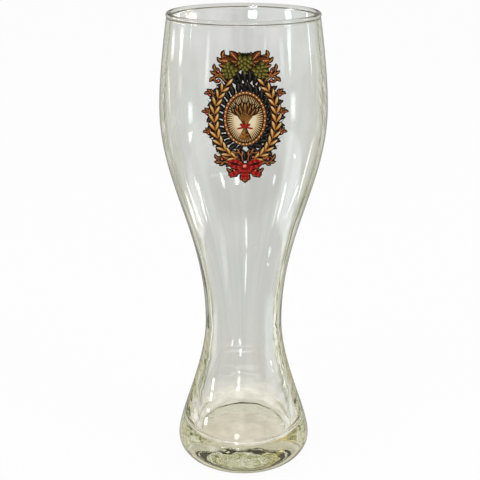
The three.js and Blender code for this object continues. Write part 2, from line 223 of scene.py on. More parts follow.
class Wire:
    """Output of a node. Arithmetic on it adds Math nodes."""

    def __init__(self, graph, socket):
        self.graph = graph
        self.socket = socket

    __add__ = math_node("ADD")
    __radd__ = math_node("ADD", swapped=True)
    __sub__ = math_node("SUBTRACT")
    __rsub__ = math_node("SUBTRACT", swapped=True)
    __mul__ = math_node("MULTIPLY")
    __rmul__ = math_node("MULTIPLY", swapped=True)
    __truediv__ = math_node("DIVIDE")
    __rtruediv__ = math_node("DIVIDE", swapped=True)
    __pow__ = math_node("POWER")
    __mod__ = math_node("FLOORED_MODULO")
    __gt__ = math_node("GREATER_THAN")
    __lt__ = math_node("LESS_THAN")
    __abs__ = math_node("ABSOLUTE")
    floor = math_node("FLOOR")
    sin = math_node("SINE")
    cos = math_node("COSINE")
    max = math_node("MAXIMUM")

    def clip(self):
        return self.graph.node("ShaderNodeClamp", {}, {0: self})

    def above(self, start, slope):
        """Zero up to a start, then rising at a slope to one."""
        return ((self - start) * slope).clip()

    def below(self, end, slope):
        """One at first, then falling at a slope to zero at an end."""
        return ((end - self) * slope).clip()


class Graph:
    """A node tree that is written as expressions"""

    def __init__(self, tree):
        self.tree = tree

    def node(self, kind, settings=None, values=None, output=0):
        """Adds a node with its settings, then gives its sockets their values or links."""
        made = self.tree.nodes.new(kind)
        for key, value in (settings or {}).items():
            if key == "stops":
                self.set_stops(made.color_ramp, value)
            else:
                setattr(made, key, value)
        for key, value in (values or {}).items():
            self.feed(made.inputs[key], value)
        return Wire(self, made.outputs[output]) if made.outputs else None

    def feed(self, socket, value):
        if isinstance(value, Wire):
            self.tree.links.new(value.socket, socket)
        elif socket.type == "RGBA":
            socket.default_value = (*value, 1.0)
        elif value is not None:
            socket.default_value = value

    def set_stops(self, ramp, stops):
        while len(ramp.elements) < len(stops):
            ramp.elements.new(1.0)
        for element, (place, colour) in zip(ramp.elements, stops):
            element.position = place
            element.color = (*colour, 1.0)

    def other(self, wire, output):
        """Another output of a wire's node."""
        return Wire(self, wire.socket.node.outputs[output])

    def split(self, wire):
        parts = self.node("ShaderNodeSeparateXYZ", {}, {0: wire})
        return [self.other(parts, axis) for axis in range(3)]

    def join(self, x, y, z):
        return self.node("ShaderNodeCombineXYZ", {}, {0: x, 1: y, 2: z})

    def added(self, first, second):
        return self.node("ShaderNodeVectorMath", {"operation": "ADD"}, {0: first, 1: second})

    def scaled(self, vector, factor):
        return self.node("ShaderNodeVectorMath", {"operation": "SCALE"}, {0: vector, "Scale": factor})

    def noise(self, place, scale, detail=2.0, roughness=0.5, dimensions="3D"):
        return self.node("ShaderNodeTexNoise", {"noise_dimensions": dimensions}, {
            "Vector": place, "Scale": scale, "Detail": detail, "Roughness": roughness})

    def mix_colour(self, factor, first, second):
        return self.node("ShaderNodeMix", {"data_type": "RGBA"}, {0: factor, 6: first, 7: second}, output=2)

    def mix_shader(self, factor, first, second):
        return self.node("ShaderNodeMixShader", {}, {0: factor, 1: first, 2: second})


def new_material(name):
    material = bpy.data.materials.new(name)
    material.use_nodes = True
    material.node_tree.nodes.clear()
    return material, Graph(material.node_tree)


def finish_material(graph, surface, volume=None):
    graph.node("ShaderNodeOutputMaterial", {}, {"Surface": surface, "Volume": volume})


def new_tree(name, inputs):
    """A Geometry Nodes tree with named inputs, which also has its incoming geometry as "Geometry"."""
    tree = bpy.data.node_groups.new(name, "GeometryNodeTree")
    tree.interface.new_socket("Geometry", in_out="INPUT", socket_type="NodeSocketGeometry")
    for label, kind in inputs.items():
        tree.interface.new_socket(label, in_out="INPUT", socket_type="NodeSocket" + kind)
    tree.interface.new_socket("Geometry", in_out="OUTPUT", socket_type="NodeSocketGeometry")
    graph = Graph(tree)
    entry = tree.nodes.new("NodeGroupInput")
    wires = {socket.name: Wire(graph, socket) for socket in entry.outputs if socket.name}
    return graph, wires


def close_tree(graph, geometry, material):
    """Ends a tree in Realize Instances and Set Material."""
    real = graph.node("GeometryNodeRealizeInstances", {}, {0: geometry})
    painted = graph.node("GeometryNodeSetMaterial", {}, {"Geometry": real, "Material": material})
    graph.node("NodeGroupOutput", {}, {0: painted})
    return graph.tree


def apply_tree(piece, tree, values, thickness=0.0):
    """Runs a Geometry Nodes tree on a piece, thickens it outwards and leaves it as a plain mesh."""
    modifier = piece.modifiers.new(tree.name, "NODES")
    modifier.node_group = tree
    sockets = {item.name: item.identifier for item in tree.interface.items_tree
               if item.item_type == "SOCKET" and item.in_out == "INPUT"}
    for label, value in values.items():
        modifier[sockets[label]] = value
    if thickness:
        film = piece.modifiers.new("film", "SOLIDIFY")
        film.thickness = thickness
        film.offset = 1.0
    seen = piece.evaluated_get(bpy.context.evaluated_depsgraph_get())
    mesh = bpy.data.meshes.new_from_object(seen)
    mesh.name = piece.name
    piece.modifiers.clear()
    piece.data = mesh


def new_piece(name, mesh):
    piece = bpy.data.objects.new(name, mesh)
    bpy.context.scene.collection.objects.link(piece)
    return piece


def settle(piece, slot, *nodes):
    """A finished piece rides on the only body and stands for its CAD nodes, which it hides. Its slot is not
    used.
    """
    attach(piece, BODY)
    if nodes:
        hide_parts(*nodes)


# Steps along each stretch of the vessel's profile, from the punt round to the floor
STEPS = {"punt": 24, "heel": 22, "base": 46, "bowl": 54, "shoulder": 30, "lip": 28, "corner": 22,
         "floor": 14}
# Least distance of the inner wall's stations from the corner and from the lip
CORNER_GAP = 0.5 * MM
LIP_GAP = 0.3 * MM
# Curve handles of the inner corner, as shares of its drop and of its width
CORNER_IN, CORNER_DOWN, CORNER_ACROSS = 0.12, 0.55, 0.6
# Distances from the heel, the lip and the axis over which the marks of making fade in
HEEL_FADE = 8 * MM
LIP_FADE = 12 * MM
AXIS_FADE = 10 * MM
# Part of the punt's dimples that the floor has
FLOOR_DIMPLES = 0.5


def bezier(start, first, second, end, steps):
    """Points of a cubic curve, without its start."""
    points = []
    for step in range(1, steps + 1):
        t = step / steps
        s = 1 - t
        points.append(tuple(s ** 3 * a + 3 * s * s * t * b + 3 * s * t * t * c + t ** 3 * d
                            for a, b, c, d in zip(start, first, second, end)))
    return points


def arc(centre, half_width, half_height, start, end, steps):
    """Points of an elliptic arc in degrees, with both its ends."""
    points = []
    for step in range(steps + 1):
        turn = math.radians(start + (end - start) * step / steps)
        points.append((centre[0] + half_width * math.cos(turn), centre[1] + half_height * math.sin(turn)))
    return points


def dome(radius, height, rise, shares):
    """Points of a shallow dome, at shares of its radius."""
    return [(radius * share, height + rise * (1 - share * share)) for share in shares]


def bead_turn(shape):
    """Angle under the middle of the bead where the wall runs into it."""
    return math.acos(shape.neck / 2 / shape.lip_round)


def outer_outline(shape):
    """Radius and height of the outer wall, from the top of the heel to the bottom of the lip."""
    lip_bottom = HEIGHT - shape.lip_round * (1 + math.sin(bead_turn(shape)))
    neck_radius = shape.lip_radius - shape.lip_round + shape.neck / 2
    base = (shape.base_radius, shape.heel_height)
    waist = (shape.waist_radius, shape.waist_height)
    belly = (BELLY, shape.belly_height)
    lip = (neck_radius, lip_bottom)
    points = [base]
    points += bezier(base, (base[0], base[1] + shape.base_pull),
                     (waist[0], waist[1] - shape.waist_pull_down), waist, STEPS["base"])
    points += bezier(waist, (waist[0], waist[1] + shape.waist_pull_up),
                     (belly[0], belly[1] - shape.belly_pull_down), belly, STEPS["bowl"])
    points += bezier(belly, (belly[0], belly[1] + shape.belly_pull_up),
                     (lip[0] + shape.lip_pull_out, lip[1] - shape.lip_pull_down), lip, STEPS["shoulder"])
    return points


def wall_at(shape, height):
    """Glass thickness at a height."""
    fade = math.exp((shape.corner_height - height) / shape.wall_fade)
    return shape.neck + (shape.wall_at_corner - shape.neck) * fade


def radius_at(outline, height):
    for low, high in zip(outline, outline[1:]):
        if low[1] <= height <= high[1]:
            share = (height - low[1]) / (high[1] - low[1])
            return low[0] + share * (high[0] - low[0])
    raise ValueError(f"no outline at height {height}")


def vessel_profile(shape):
    """Stations of the profile from axis to axis: radius, height, and shares of ripple, dimples and rings."""
    outline = outer_outline(shape)
    punt = dome(shape.punt_radius, 0.0, shape.punt_rise,
                [step / STEPS["punt"] for step in range(STEPS["punt"] + 1)])
    heel = arc((shape.foot_radius, shape.heel_height), shape.base_radius - shape.foot_radius,
               shape.heel_height, -90, 0, STEPS["heel"])[1:-1]
    turn = math.degrees(bead_turn(shape))
    lip = arc((shape.lip_radius - shape.lip_round, HEIGHT - shape.lip_round), shape.lip_round,
              shape.lip_round, -turn, 180 + turn, STEPS["lip"])[1:]
    wall = [(r - wall_at(shape, z), z) for r, z in reversed(outline)
            if shape.corner_height + CORNER_GAP < z < outline[-1][1] - LIP_GAP]
    corner_start = (radius_at(outline, shape.corner_height) - shape.wall_at_corner, shape.corner_height)
    drop = shape.corner_height - shape.floor_height
    floor_edge = (shape.floor_radius, shape.floor_height)
    corner = bezier(
        corner_start, (corner_start[0] + CORNER_IN * drop, corner_start[1] - CORNER_DOWN * drop),
        (floor_edge[0] + CORNER_ACROSS * (corner_start[0] - floor_edge[0]), floor_edge[1]),
        floor_edge, STEPS["corner"])
    floor = dome(shape.floor_radius, shape.floor_height, shape.floor_dome,
                 [1 - step / STEPS["floor"] for step in range(1, STEPS["floor"] + 1)])
    outside = punt + [(shape.foot_radius, 0.0)] + heel + outline + lip
    inside = wall + [corner_start] + corner + floor
    stations = []
    for index, (r, z) in enumerate(outside):
        in_punt = 1 - (r / shape.punt_radius) ** 4 if index < len(punt) else 0.0
        on_wall = min(1.0, max(0.0, (z - shape.heel_height) / HEEL_FADE))
        stations.append((r, z, 0.0, in_punt, shape.outer_rings * on_wall))
    for r, z in inside:
        near_lip = min(1.0, (HEIGHT - z) / LIP_FADE)
        near_axis = min(1.0, r / AXIS_FADE)
        on_floor = FLOOR_DIMPLES if z < shape.corner_height else 0.0
        stations.append((r, z, near_lip * near_axis, on_floor, near_axis))
    return stations


def profile_object(name, stations):
    """Loose points that a revolve tree reads: position, and the shares of ripple, dimples and rings."""
    mesh = bpy.data.meshes.new(name)
    mesh.from_pydata([(station[0], 0.0, station[1]) for station in stations], [], [])
    shares = mesh.attributes.new("wave_shares", "FLOAT_VECTOR", "POINT")
    for index, station in enumerate(stations):
        shares.data[index].vector = station[2:]
    return new_piece(name, mesh)


# Fineness of the marks of making: waves round the axis, and waves per metre up the wall or over the base
RIPPLE_WAVES = (3.2, 9)
RING_WAVES = (2.2, 240)
DIMPLE_WAVES = (190, 40)
WAVE_ROUGHNESS = 0.45
# Height in metres where the rings have faded out
RING_TOP = 0.105


def revolve_tree():
    """Turns the profile's points about the Z axis into one closed skin."""
    graph, given = new_tree("revolve_profile", {
        "Profile": "Object", "Sides": "Int", "Ripple": "Float", "Rings": "Float", "Dimples": "Float",
        "Material": "Material"})
    profile = graph.node("GeometryNodeObjectInfo", {}, {"Object": given["Profile"]}, output="Geometry")
    stations = graph.node("GeometryNodeAttributeDomainSize", {"component": "MESH"}, {0: profile})
    columns = given["Sides"] + 1
    grid = graph.node("GeometryNodeMeshGrid", {}, {2: stations, 3: columns})
    index = graph.node("GeometryNodeInputIndex")
    station = (index / columns + 0.0001).floor()
    turn = (index % columns) / given["Sides"] * (2 * math.pi)

    def sampled(value):
        """Three numbers of the profile at each station."""
        return graph.split(graph.node("GeometryNodeSampleIndex", {"data_type": "FLOAT_VECTOR"}, {
            "Geometry": profile, "Value": value, "Index": station}))

    def waves(x, y, z):
        """Smooth noise from -1 to 1."""
        return (graph.noise(graph.join(x, y, z), 1.0, roughness=WAVE_ROUGHNESS) - 0.5) * 2

    def waves_round(fineness):
        return waves(turn.sin() * fineness[0], turn.cos() * fineness[0], height * fineness[1])

    ripple_share, dimple_share, ring_share = sampled(graph.node(
        "GeometryNodeInputNamedAttribute", {"data_type": "FLOAT_VECTOR"}, {"Name": "wave_shares"}))
    radius, _, height = sampled(graph.node("GeometryNodeInputPosition"))
    reach = (radius + waves_round(RIPPLE_WAVES) * given["Ripple"] * ripple_share
             + waves_round(RING_WAVES) * height.below(RING_TOP, slope=22) * given["Rings"] * ring_share)
    pits = waves(radius * turn.sin() * DIMPLE_WAVES[0], radius * turn.cos() * DIMPLE_WAVES[0],
                 height * DIMPLE_WAVES[1])
    lifted = height + pits * dimple_share * given["Dimples"]
    outward = graph.scaled(graph.join(turn.sin(), 0 - turn.cos(), 0.0), reach)
    turned = graph.node("GeometryNodeSetPosition", {}, {
        "Geometry": grid, "Position": graph.added(outward, graph.join(0.0, 0.0, lifted))})
    closed = graph.node("GeometryNodeMergeByDistance", {}, {"Geometry": turned, "Distance": 1e-6})
    smooth = graph.node("GeometryNodeSetShadeSmooth", {}, {"Geometry": closed, "Shade Smooth": True})
    return close_tree(graph, smooth, given["Material"])


def facing_out(piece):
    """Turns the faces of a closed mesh outwards."""
    mesh = bmesh.new()
    mesh.from_mesh(piece.data)
    if mesh.calc_volume(signed=True) < 0:
        bmesh.ops.reverse_faces(mesh, faces=mesh.faces)
    mesh.to_mesh(piece.data)
    mesh.free()


def clear_glass(finish):
    """Soda-lime glass: a faint grey-green wall, an olive cast in the thick base, and painted shade where the
    wall is seen edge-on.
    """
    material, graph = new_material("soda_lime_glass")
    place = graph.node("ShaderNodeTexCoord", {}, {}, output="Object")
    wave = graph.noise(place, scale=55.0, detail=1.0)
    bump = graph.node("ShaderNodeBump", {}, {"Strength": 0.05, "Distance": 0.001, "Height": wave})
    facing = graph.node("ShaderNodeLayerWeight", {}, {"Blend": 0.5}, output="Facing")
    # Painted shade: the wall's colour turns dark olive where the wall turns away from the eye
    edge_shade_weight = facing.above(finish.edge_shade_start, slope=4.5)
    underside = graph.split(place)[2].below(finish.worn_height, slope=1000)
    surface = graph.node("ShaderNodeBsdfPrincipled", {}, {
        "Base Color": graph.mix_colour(edge_shade_weight, finish.tint, finish.edge_shade_tint),
        "Roughness": underside * finish.worn, "IOR": finish.refraction, "Transmission Weight": 1.0,
        "Normal": bump})
    depth = graph.node("ShaderNodeVolumeAbsorption", {}, {
        "Color": finish.depth_colour, "Density": finish.depth_density})
    # Painted shade: a dark, dull layer that paints a line along the edges of the wall
    painted_edge_layer = graph.node("ShaderNodeBsdfPrincipled", {}, {
        "Base Color": finish.painted_edge_line, "Roughness": 0.35, "Specular IOR Level": 0.1})
    scuffs = graph.node("ShaderNodeBsdfPrincipled", {}, {
        "Base Color": finish.scuff_colour, "Roughness": 0.5, "Specular IOR Level": 0.1})
    scuffed = graph.mix_shader(underside * finish.scuff_share, surface, scuffs)
    painted_line_weight = facing.above(finish.painted_line_start, slope=7.0) * finish.painted_line_share
    finish_material(graph, graph.mix_shader(painted_line_weight, scuffed, painted_edge_layer), depth)
    return material


class GLASS_OT_vessel(bpy.types.Operator):
    """Make the glass vessel from its profile"""

    bl_idname = "beer_glass.vessel"
    bl_label = "Vessel"

    def execute(self, context):
        scene = context.scene
        shape = scene.glass_shape
        profile = profile_object("vessel_profile", vessel_profile(shape))
        piece = new_piece("glass_body", bpy.data.meshes.new("glass_body"))
        apply_tree(piece, revolve_tree(), {
            "Profile": profile, "Sides": shape.sides, "Ripple": shape.ripple, "Rings": shape.rings,
            "Dimples": shape.dimples, "Material": clear_glass(scene.glass_finish)})
        facing_out(piece)
        bpy.data.objects.remove(profile)
        settle(piece, "soda_lime_glass", "glass_vessel")
        return {"FINISHED"}


# Inks of the print, each from its outline colour to its highlight
INK_STOPS = {
    "gold": ((0.0, (0.004, 0.003, 0.002)), (0.20, (0.045, 0.014, 0.004)), (0.45, (0.28, 0.090, 0.020)),
             (0.70, (0.62, 0.29, 0.058)), (1.0, (0.98, 0.78, 0.42))),
    "copper": ((0.0, (0.004, 0.003, 0.002)), (0.22, (0.030, 0.009, 0.004)), (0.52, (0.22, 0.055, 0.014)),
               (0.80, (0.48, 0.165, 0.042)), (1.0, (0.86, 0.48, 0.20))),
    "red": ((0.0, (0.004, 0.003, 0.002)), (0.20, (0.070, 0.004, 0.003)), (0.52, (0.36, 0.010, 0.008)),
            (0.82, (0.62, 0.032, 0.020)), (1.0, (0.95, 0.38, 0.24))),
    "olive": ((0.0, (0.004, 0.003, 0.002)), (0.20, (0.016, 0.014, 0.004)), (0.50, (0.085, 0.075, 0.012)),
              (0.78, (0.26, 0.21, 0.040)), (1.0, (0.66, 0.55, 0.20))),
    "cream": ((0.0, (0.005, 0.004, 0.003)), (0.25, (0.11, 0.045, 0.014)), (0.50, (0.44, 0.25, 0.09)),
              (0.75, (0.82, 0.64, 0.37)), (1.0, (0.95, 0.84, 0.60))),
    "grey": ((0.0, (0.003, 0.003, 0.002)), (0.35, (0.007, 0.006, 0.005)), (0.70, (0.052, 0.043, 0.037)),
             (1.0, (0.24, 0.205, 0.175))),
}
# Part of each whole step of u that a patch of one ink spans
INK_SPAN = 0.999
# Half-width in millimetres under which a ribbon becomes a point
POINT_WIDTH = 0.01
# Steps along the outline of an oval
OVAL_STEPS = 16
# Lift in millimetres of a patch over the one that it overlaps
LAYER = 0.012
# Width of the keyline round the ends of a ribbon, as a share of its width along the sides
KEYLINE_END = 0.45


def direction(path, index):
    """Unit vector along a path at one of its points. A path that ends where it starts is closed."""
    last = len(path) - 1
    closed = math.dist(path[0], path[last]) < 1e-6
    before = path[last - 1] if closed and index == 0 else path[max(index - 1, 0)]
    after = path[1] if closed and index == last else path[min(index + 1, last)]
    step = Vector((after[0] - before[0], after[1] - before[1]))
    return step.normalized()


def stroke(x, z, angle, reach, steps=6, bend=0.0, power=1.0):
    """Points of a line from a heading in degrees. A power over 1 saves its bend for its end."""
    points = [(x, z)]
    for step in range(steps):
        heading = math.radians(angle + bend * ((step + 0.5) / steps) ** power)
        last = points[-1]
        points.append((last[0] + reach / steps * math.cos(heading),
                       last[1] + reach / steps * math.sin(heading)))
    return points


def lens(steps, width, bulge=1.0):
    """Half-widths of a pointed oval. A bulge over 1 puts its widest place past the middle."""
    return [width / 2 * max(0.0, math.sin(math.pi * (i / steps) ** bulge)) ** 0.8 for i in range(steps + 1)]


def taper(steps, start, end):
    return [start + (end - start) * i / steps for i in range(steps + 1)]


class Sheet:
    """A flat drawing in millimetres, x to the right and z up, whose patches carry u along and v across.

    The whole part of u says which ink a patch takes. The patches with a keyline shape the backing.
    """

    def __init__(self, keyline=True):
        self.keyline = keyline
        self.points = []
        self.faces = []
        self.seeds = []
        self.outlines = []

    def add(self, place, depth):
        self.points.append((place[0], -depth, place[1]))
        return len(self.points) - 1

    def face(self, corners):
        """Corners are (vertex, u, v). Repeats are left out and the face is turned to the viewer."""
        kept = [c for i, c in enumerate(corners) if c[0] != corners[i - 1][0]]
        if len(kept) < 3:
            return
        flat = [self.points[c[0]] for c in kept]
        area = sum(a[0] * b[2] - b[0] * a[2] for a, b in zip(flat, flat[1:] + flat[:1]))
        self.faces.append(kept if area > 0 else kept[::-1])

    def strip(self, path, halves, depth=0.0, ink=0, columns=4, keyline=True):
        """A ribbon along a path, from its half-widths."""
        rows = []
        for index, (place, half) in enumerate(zip(path, halves)):
            along = direction(path, index)
            u = ink + INK_SPAN * index / (len(path) - 1)
            tip = self.add(place, depth) if half < POINT_WIDTH else None
            row = []
            for column in range(columns + 1):
                v = 2 * column / columns - 1
                spot = (place[0] - along.y * half * v, place[1] + along.x * half * v)
                row.append((self.add(spot, depth) if tip is None else tip, u, v))
            rows.append(row)
        for low, high in zip(rows, rows[1:]):
            for k in range(columns):
                self.face([low[k], high[k], high[k + 1], low[k + 1]])
        if keyline and self.keyline:
            self.outlines.append((path, halves))

    def petal(self, x, z, angle, reach, width, steps=8, bulge=1.0, bend=0.0, **look):
        """A pointed oval along a stroke."""
        self.strip(stroke(x, z, angle, reach, steps, bend), lens(steps, width, bulge), **look)

    def stem(self, x, z, angle, reach, start, end, steps=6, bend=0.0, **look):
        """A stroke whose half-width goes evenly from a start to an end."""
        self.strip(stroke(x, z, angle, reach, steps, bend), taper(steps, start, end), **look)

    def oval(self, centre, half_width, half_height, depth=0.0, ink=0, rings=2, sides=14, keyline=True):
        middle = self.add(centre, depth)
        circles = []
        for ring in range(1, rings + 1):
            share = ring / rings
            spots = arc(centre, half_width * share, half_height * share, 0, 360, sides)[:-1]
            circles.append([self.add(spot, depth) for spot in spots])
        for step in range(sides):
            after = (step + 1) % sides
            u, u_after = ink + INK_SPAN * step / sides, ink + INK_SPAN * (step + 1) / sides
            self.face([(middle, (u + u_after) / 2, 0.0), (circles[0][step], u, 1 / rings),
                       (circles[0][after], u_after, 1 / rings)])
            for ring, (inner, outer) in enumerate(zip(circles, circles[1:]), 1):
                v, v_after = ring / rings, (ring + 1) / rings
                self.face([(inner[step], u, v), (outer[step], u, v_after),
                           (outer[after], u_after, v_after), (inner[after], u_after, v)])
        if keyline and self.keyline:
            self.outline_oval(centre, half_width, half_height)

    def outline_oval(self, centre, half_width, half_height):
        """Keeps an oval for the keyline, as a strip along its longer axis."""
        tall = half_height >= half_width
        span, narrow = max(half_width, half_height), min(half_width, half_height)
        path, halves = [], []
        for step in range(OVAL_STEPS + 1):
            turn = math.pi * step / OVAL_STEPS
            reach = -span * math.cos(turn)
            path.append((centre[0], centre[1] + reach) if tall else (centre[0] + reach, centre[1]))
            halves.append(narrow * math.sin(turn))
        self.outlines.append((path, halves))

    def seed(self, x, z, turn, size=1.0, depth=0.0):
        self.seeds.append((x, z, turn, size, depth))

    def mesh(self, name):
        """The drawing as a mesh in metres, with its seeds as loose points."""
        mesh = bpy.data.meshes.new(name)
        spots = self.points + [(x, -depth, z) for x, z, _, _, depth in self.seeds]
        mesh.from_pydata([tuple(value * MM for value in spot) for spot in spots], [],
                         [[corner[0] for corner in face] for face in self.faces])
        layer = mesh.uv_layers.new(name="along")
        corners = [corner for face in self.faces for corner in face]
        for loop, corner in zip(layer.data, corners):
            loop.uv = corner[1:]
        turns = mesh.attributes.new("motif_turn", "FLOAT", "POINT")
        sizes = mesh.attributes.new("motif_size", "FLOAT", "POINT")
        for index, seed in enumerate(self.seeds, len(self.points)):
            turns.data[index].value = math.radians(seed[2])
            sizes.data[index].value = seed[3]
        return mesh

    def grown(self, keyline, motif=None):
        """Outlines of every patch and of the motif at every seed, widened by a keyline."""
        shapes = [ribbon_outline(path, halves, keyline) for path, halves in self.outlines]
        for x, z, turn, size, _ in self.seeds:
            for path, halves in motif.outlines if motif else ():
                shape = ribbon_outline(path, halves, keyline / size)
                c, s = size * math.cos(math.radians(turn)), size * math.sin(math.radians(turn))
                shapes.append([(x + c * px - s * pz, z + s * px + c * pz) for px, pz in shape])
        return shapes


def ribbon_outline(path, halves, grow):
    """Closed outline of a strip, widened all round."""
    left, right = [], []
    for index, (place, half) in enumerate(zip(path, halves)):
        along = direction(path, index)
        end = -grow if index == 0 else grow if index == len(path) - 1 else 0.0
        reach = half + grow * (KEYLINE_END if end else 1.0)
        middle = (place[0] + along.x * end, place[1] + along.y * end)
        left.append((middle[0] - along.y * reach, middle[1] + along.x * reach))
        right.append((middle[0] + along.y * reach, middle[1] - along.x * reach))
    return right + left[::-1]


def union_sheet(shapes, spacing):
    """One flat sheet that covers every shape, with points inside so that it can bend."""
    coords, faces = [], []
    for shape in shapes:
        start = len(coords)
        coords += [Vector(point) for point in shape]
        faces.append(list(range(start, len(coords))))
    low_x, high_x = min(c.x for c in coords), max(c.x for c in coords)
    low_z, high_z = min(c.y for c in coords), max(c.y for c in coords)
    for row in range(int((high_z - low_z) / spacing) + 1):
        for column in range(int((high_x - low_x) / spacing) + 1):
            coords.append(Vector((low_x + (column + 0.5 * (row % 2)) * spacing, low_z + row * spacing)))
    spots, _, triangles, _, _, owners = delaunay_2d_cdt(coords, [], faces, 0, 1e-5, True)
    sheet = Sheet()
    kept = [list(triangle) for triangle, owner in zip(triangles, owners) if owner]
    used = {}
    for triangle in kept:
        for index in triangle:
            if index not in used:
                used[index] = sheet.add((spots[index].x, spots[index].y), 0.0)
    for triangle in kept:
        sheet.face([(used[i], 0.0, 0.0) for i in triangle])
    return sheet


def wrap_tree():
    """Sets the motif on each seed, lays the drawing on the front of the glass and gives it its ink."""
    graph, given = new_tree("wrap_on_glass", {
        "Motif": "Object", "Glass": "Object", "Across": "Float", "Up": "Float", "Lift": "Float",
        "Material": "Material"})
    size, turn = [graph.node("GeometryNodeInputNamedAttribute", {"data_type": "FLOAT"}, {"Name": name})
                  for name in ("motif_size", "motif_turn")]
    seeds = graph.node("GeometryNodeSeparateGeometry", {"domain": "POINT"}, {
        "Geometry": given["Geometry"], "Selection": size > 0.0})
    drawing = graph.other(seeds, "Inverted")
    motif, glass = [graph.node("GeometryNodeObjectInfo", {}, {"Object": given[name]}, output="Geometry")
                    for name in ("Motif", "Glass")]
    rotation = graph.node("FunctionNodeEulerToRotation", {}, {0: graph.join(0.0, 0 - turn, 0.0)})
    spread = graph.node("GeometryNodeInstanceOnPoints", {}, {
        "Points": seeds, "Instance": motif, "Rotation": rotation, "Scale": graph.join(size, 1.0, size)})
    grown = graph.node("GeometryNodeRealizeInstances", {}, {0: spread})
    joined = graph.node("GeometryNodeJoinGeometry", {}, {0: drawing})
    graph.feed(joined.socket.node.inputs[0], grown)
    x, depth, z = graph.split(graph.node("GeometryNodeInputPosition"))
    hit = graph.node("GeometryNodeRaycast", {}, {
        "Target Geometry": glass, "Source Position": graph.join(x + given["Across"], -1.0, z + given["Up"]),
        "Ray Direction": (0.0, 1.0, 0.0), "Ray Length": 2.0}, output="Hit Position")
    outward = graph.scaled(graph.other(hit, "Hit Normal"), given["Lift"] - depth)
    laid = graph.node("GeometryNodeSetPosition", {}, {
        "Geometry": joined, "Position": graph.added(hit, outward)})
    closed = graph.node("GeometryNodeMergeByDistance", {}, {"Geometry": laid, "Distance": 2e-7})
    return close_tree(graph, closed, given["Material"])


# Scale and depth of the enamel's flecks, darkness of its middle tones and scale of its grain
FLECK_SCALE = 2600.0
FLECK_DEPTH = 0.16
TONE_POWER = 1.2
GRAIN_SCALE = 900.0


def enamel(name, inks):
    """A fired enamel. Each ink is a set of stops and a rule for its tone, numbered as in the drawing."""
    material, graph = new_material(name)
    place = graph.node("ShaderNodeUVMap", {"uv_map": "along"})
    along, across, _ = graph.split(place)
    number_of = (along + (1 - INK_SPAN) / 2).floor()
    u = along - number_of
    spot = graph.node("ShaderNodeTexCoord", {}, {}, output="Object")
    fleck = graph.noise(spot, scale=FLECK_SCALE)
    colour = None
    for index, (ink, rule) in enumerate(inks):
        tone = (rule(u, across) + (fleck - 0.5) * FLECK_DEPTH).clip()
        shaded = graph.node("ShaderNodeValToRGB", {"stops": INK_STOPS[ink]}, {0: tone ** TONE_POWER})
        colour = shaded if colour is None else graph.mix_colour(number_of > index - 0.5, colour, shaded)
    grain = graph.noise(spot, scale=GRAIN_SCALE, detail=3.0)
    bump = graph.node("ShaderNodeBump", {}, {"Strength": 0.25, "Distance": 0.00002, "Height": grain})
    surface = graph.node("ShaderNodeBsdfPrincipled", {}, {
        "Base Color": colour, "Roughness": grain * 0.15 + 0.30, "Specular IOR Level": 0.04, "Normal": bump})
    finish_material(graph, surface)
    return material


# Rules for the tone of a patch, from u along it and v across it


def keyed(tone, v, edge):
    """Cuts a tone to the outline colour beyond an edge."""
    return tone * (edge > abs(v))


def tone_grain(u, v):
    side = abs(v + 0.22)
    return keyed(1.05 - side * side * 0.75 - (1.0 - u) * 0.45 + (v * 15).sin() * 0.07, v, 0.82)


def tone_stalk(u, v):
    return 0.75 - abs(v + 0.3) * 0.6


def tone_leaf(u, v):
    vein = (((u * 7 - abs(v) * 1.3) % 1.0) > 0.72) * 0.24
    rib = (0.10 > abs(v)) * 0.35
    return keyed(0.74 - abs(v) * 0.22 - vein + rib - (1.0 - u) * 0.24, v, 0.84)


def tone_feather(u, v):
    barb = (((u * 8 - abs(v) * 1.6) % 1.0) > 0.55) * 0.42
    rib = (0.13 > abs(v)) * 0.30
    return keyed(0.74 - barb + rib - (1.0 - u) * 0.30 - abs(v) * 0.15, v, 0.86)


def tone_bract(u, v):
    crease = ((v * 11).sin()) * 0.06
    return keyed(0.16 + u * 0.84 + crease - abs(v + 0.15) * 0.30, v, 0.84)


def tone_ribbon(u, v):
    fold = ((u * 23).sin() * 0.5 + 0.5) * 0.36
    gilt = (abs(v) > 0.62) * (0.82 > abs(v)) * 0.34
    return keyed(0.42 + fold * (1.1 - abs(v)) + gilt, v, 0.88)


def tone_scroll(u, v):
    return keyed(0.92 - abs(v + 0.3) * 0.55, v, 0.86)


def tone_disc(u, v):
    return keyed(1.02 - v * v * 0.62 + (u * 6.283 - 2.2).cos() * v * 0.28, v, 0.86)


def tone_rope(u, v):
    twist = (((u * 96 + v * 0.8) % 1.0) > 0.5) * 0.22
    return keyed(0.66 - abs(v) * 0.30 + twist, v, 0.88)


def tone_field(u, v):
    ray = (((u * 60) % 1.0) > 0.5) * ((v - 0.52) * 3.0).clip() * 0.55
    return 0.98 - (v * v * v) * 0.50 - ray - (v > 0.95) * 0.6


def tone_flat(u, v):
    return 0.16


def onto_side(side, angle):
    """An angle that is given for the right half, turned over for the left half."""
    return angle if side > 0 else 180 - angle


def on_wreath(wreath, side, angle, grow=0.0):
    """Place and heading in degrees on the oval that a branch follows."""
    a = math.radians(angle)
    wide, tall = wreath["half_width"] + grow, wreath["half_height"] + grow
    heading = math.atan2(tall * math.cos(a), -side * wide * math.sin(a))
    return side * wide * math.cos(a), tall * math.sin(a), math.degrees(heading)


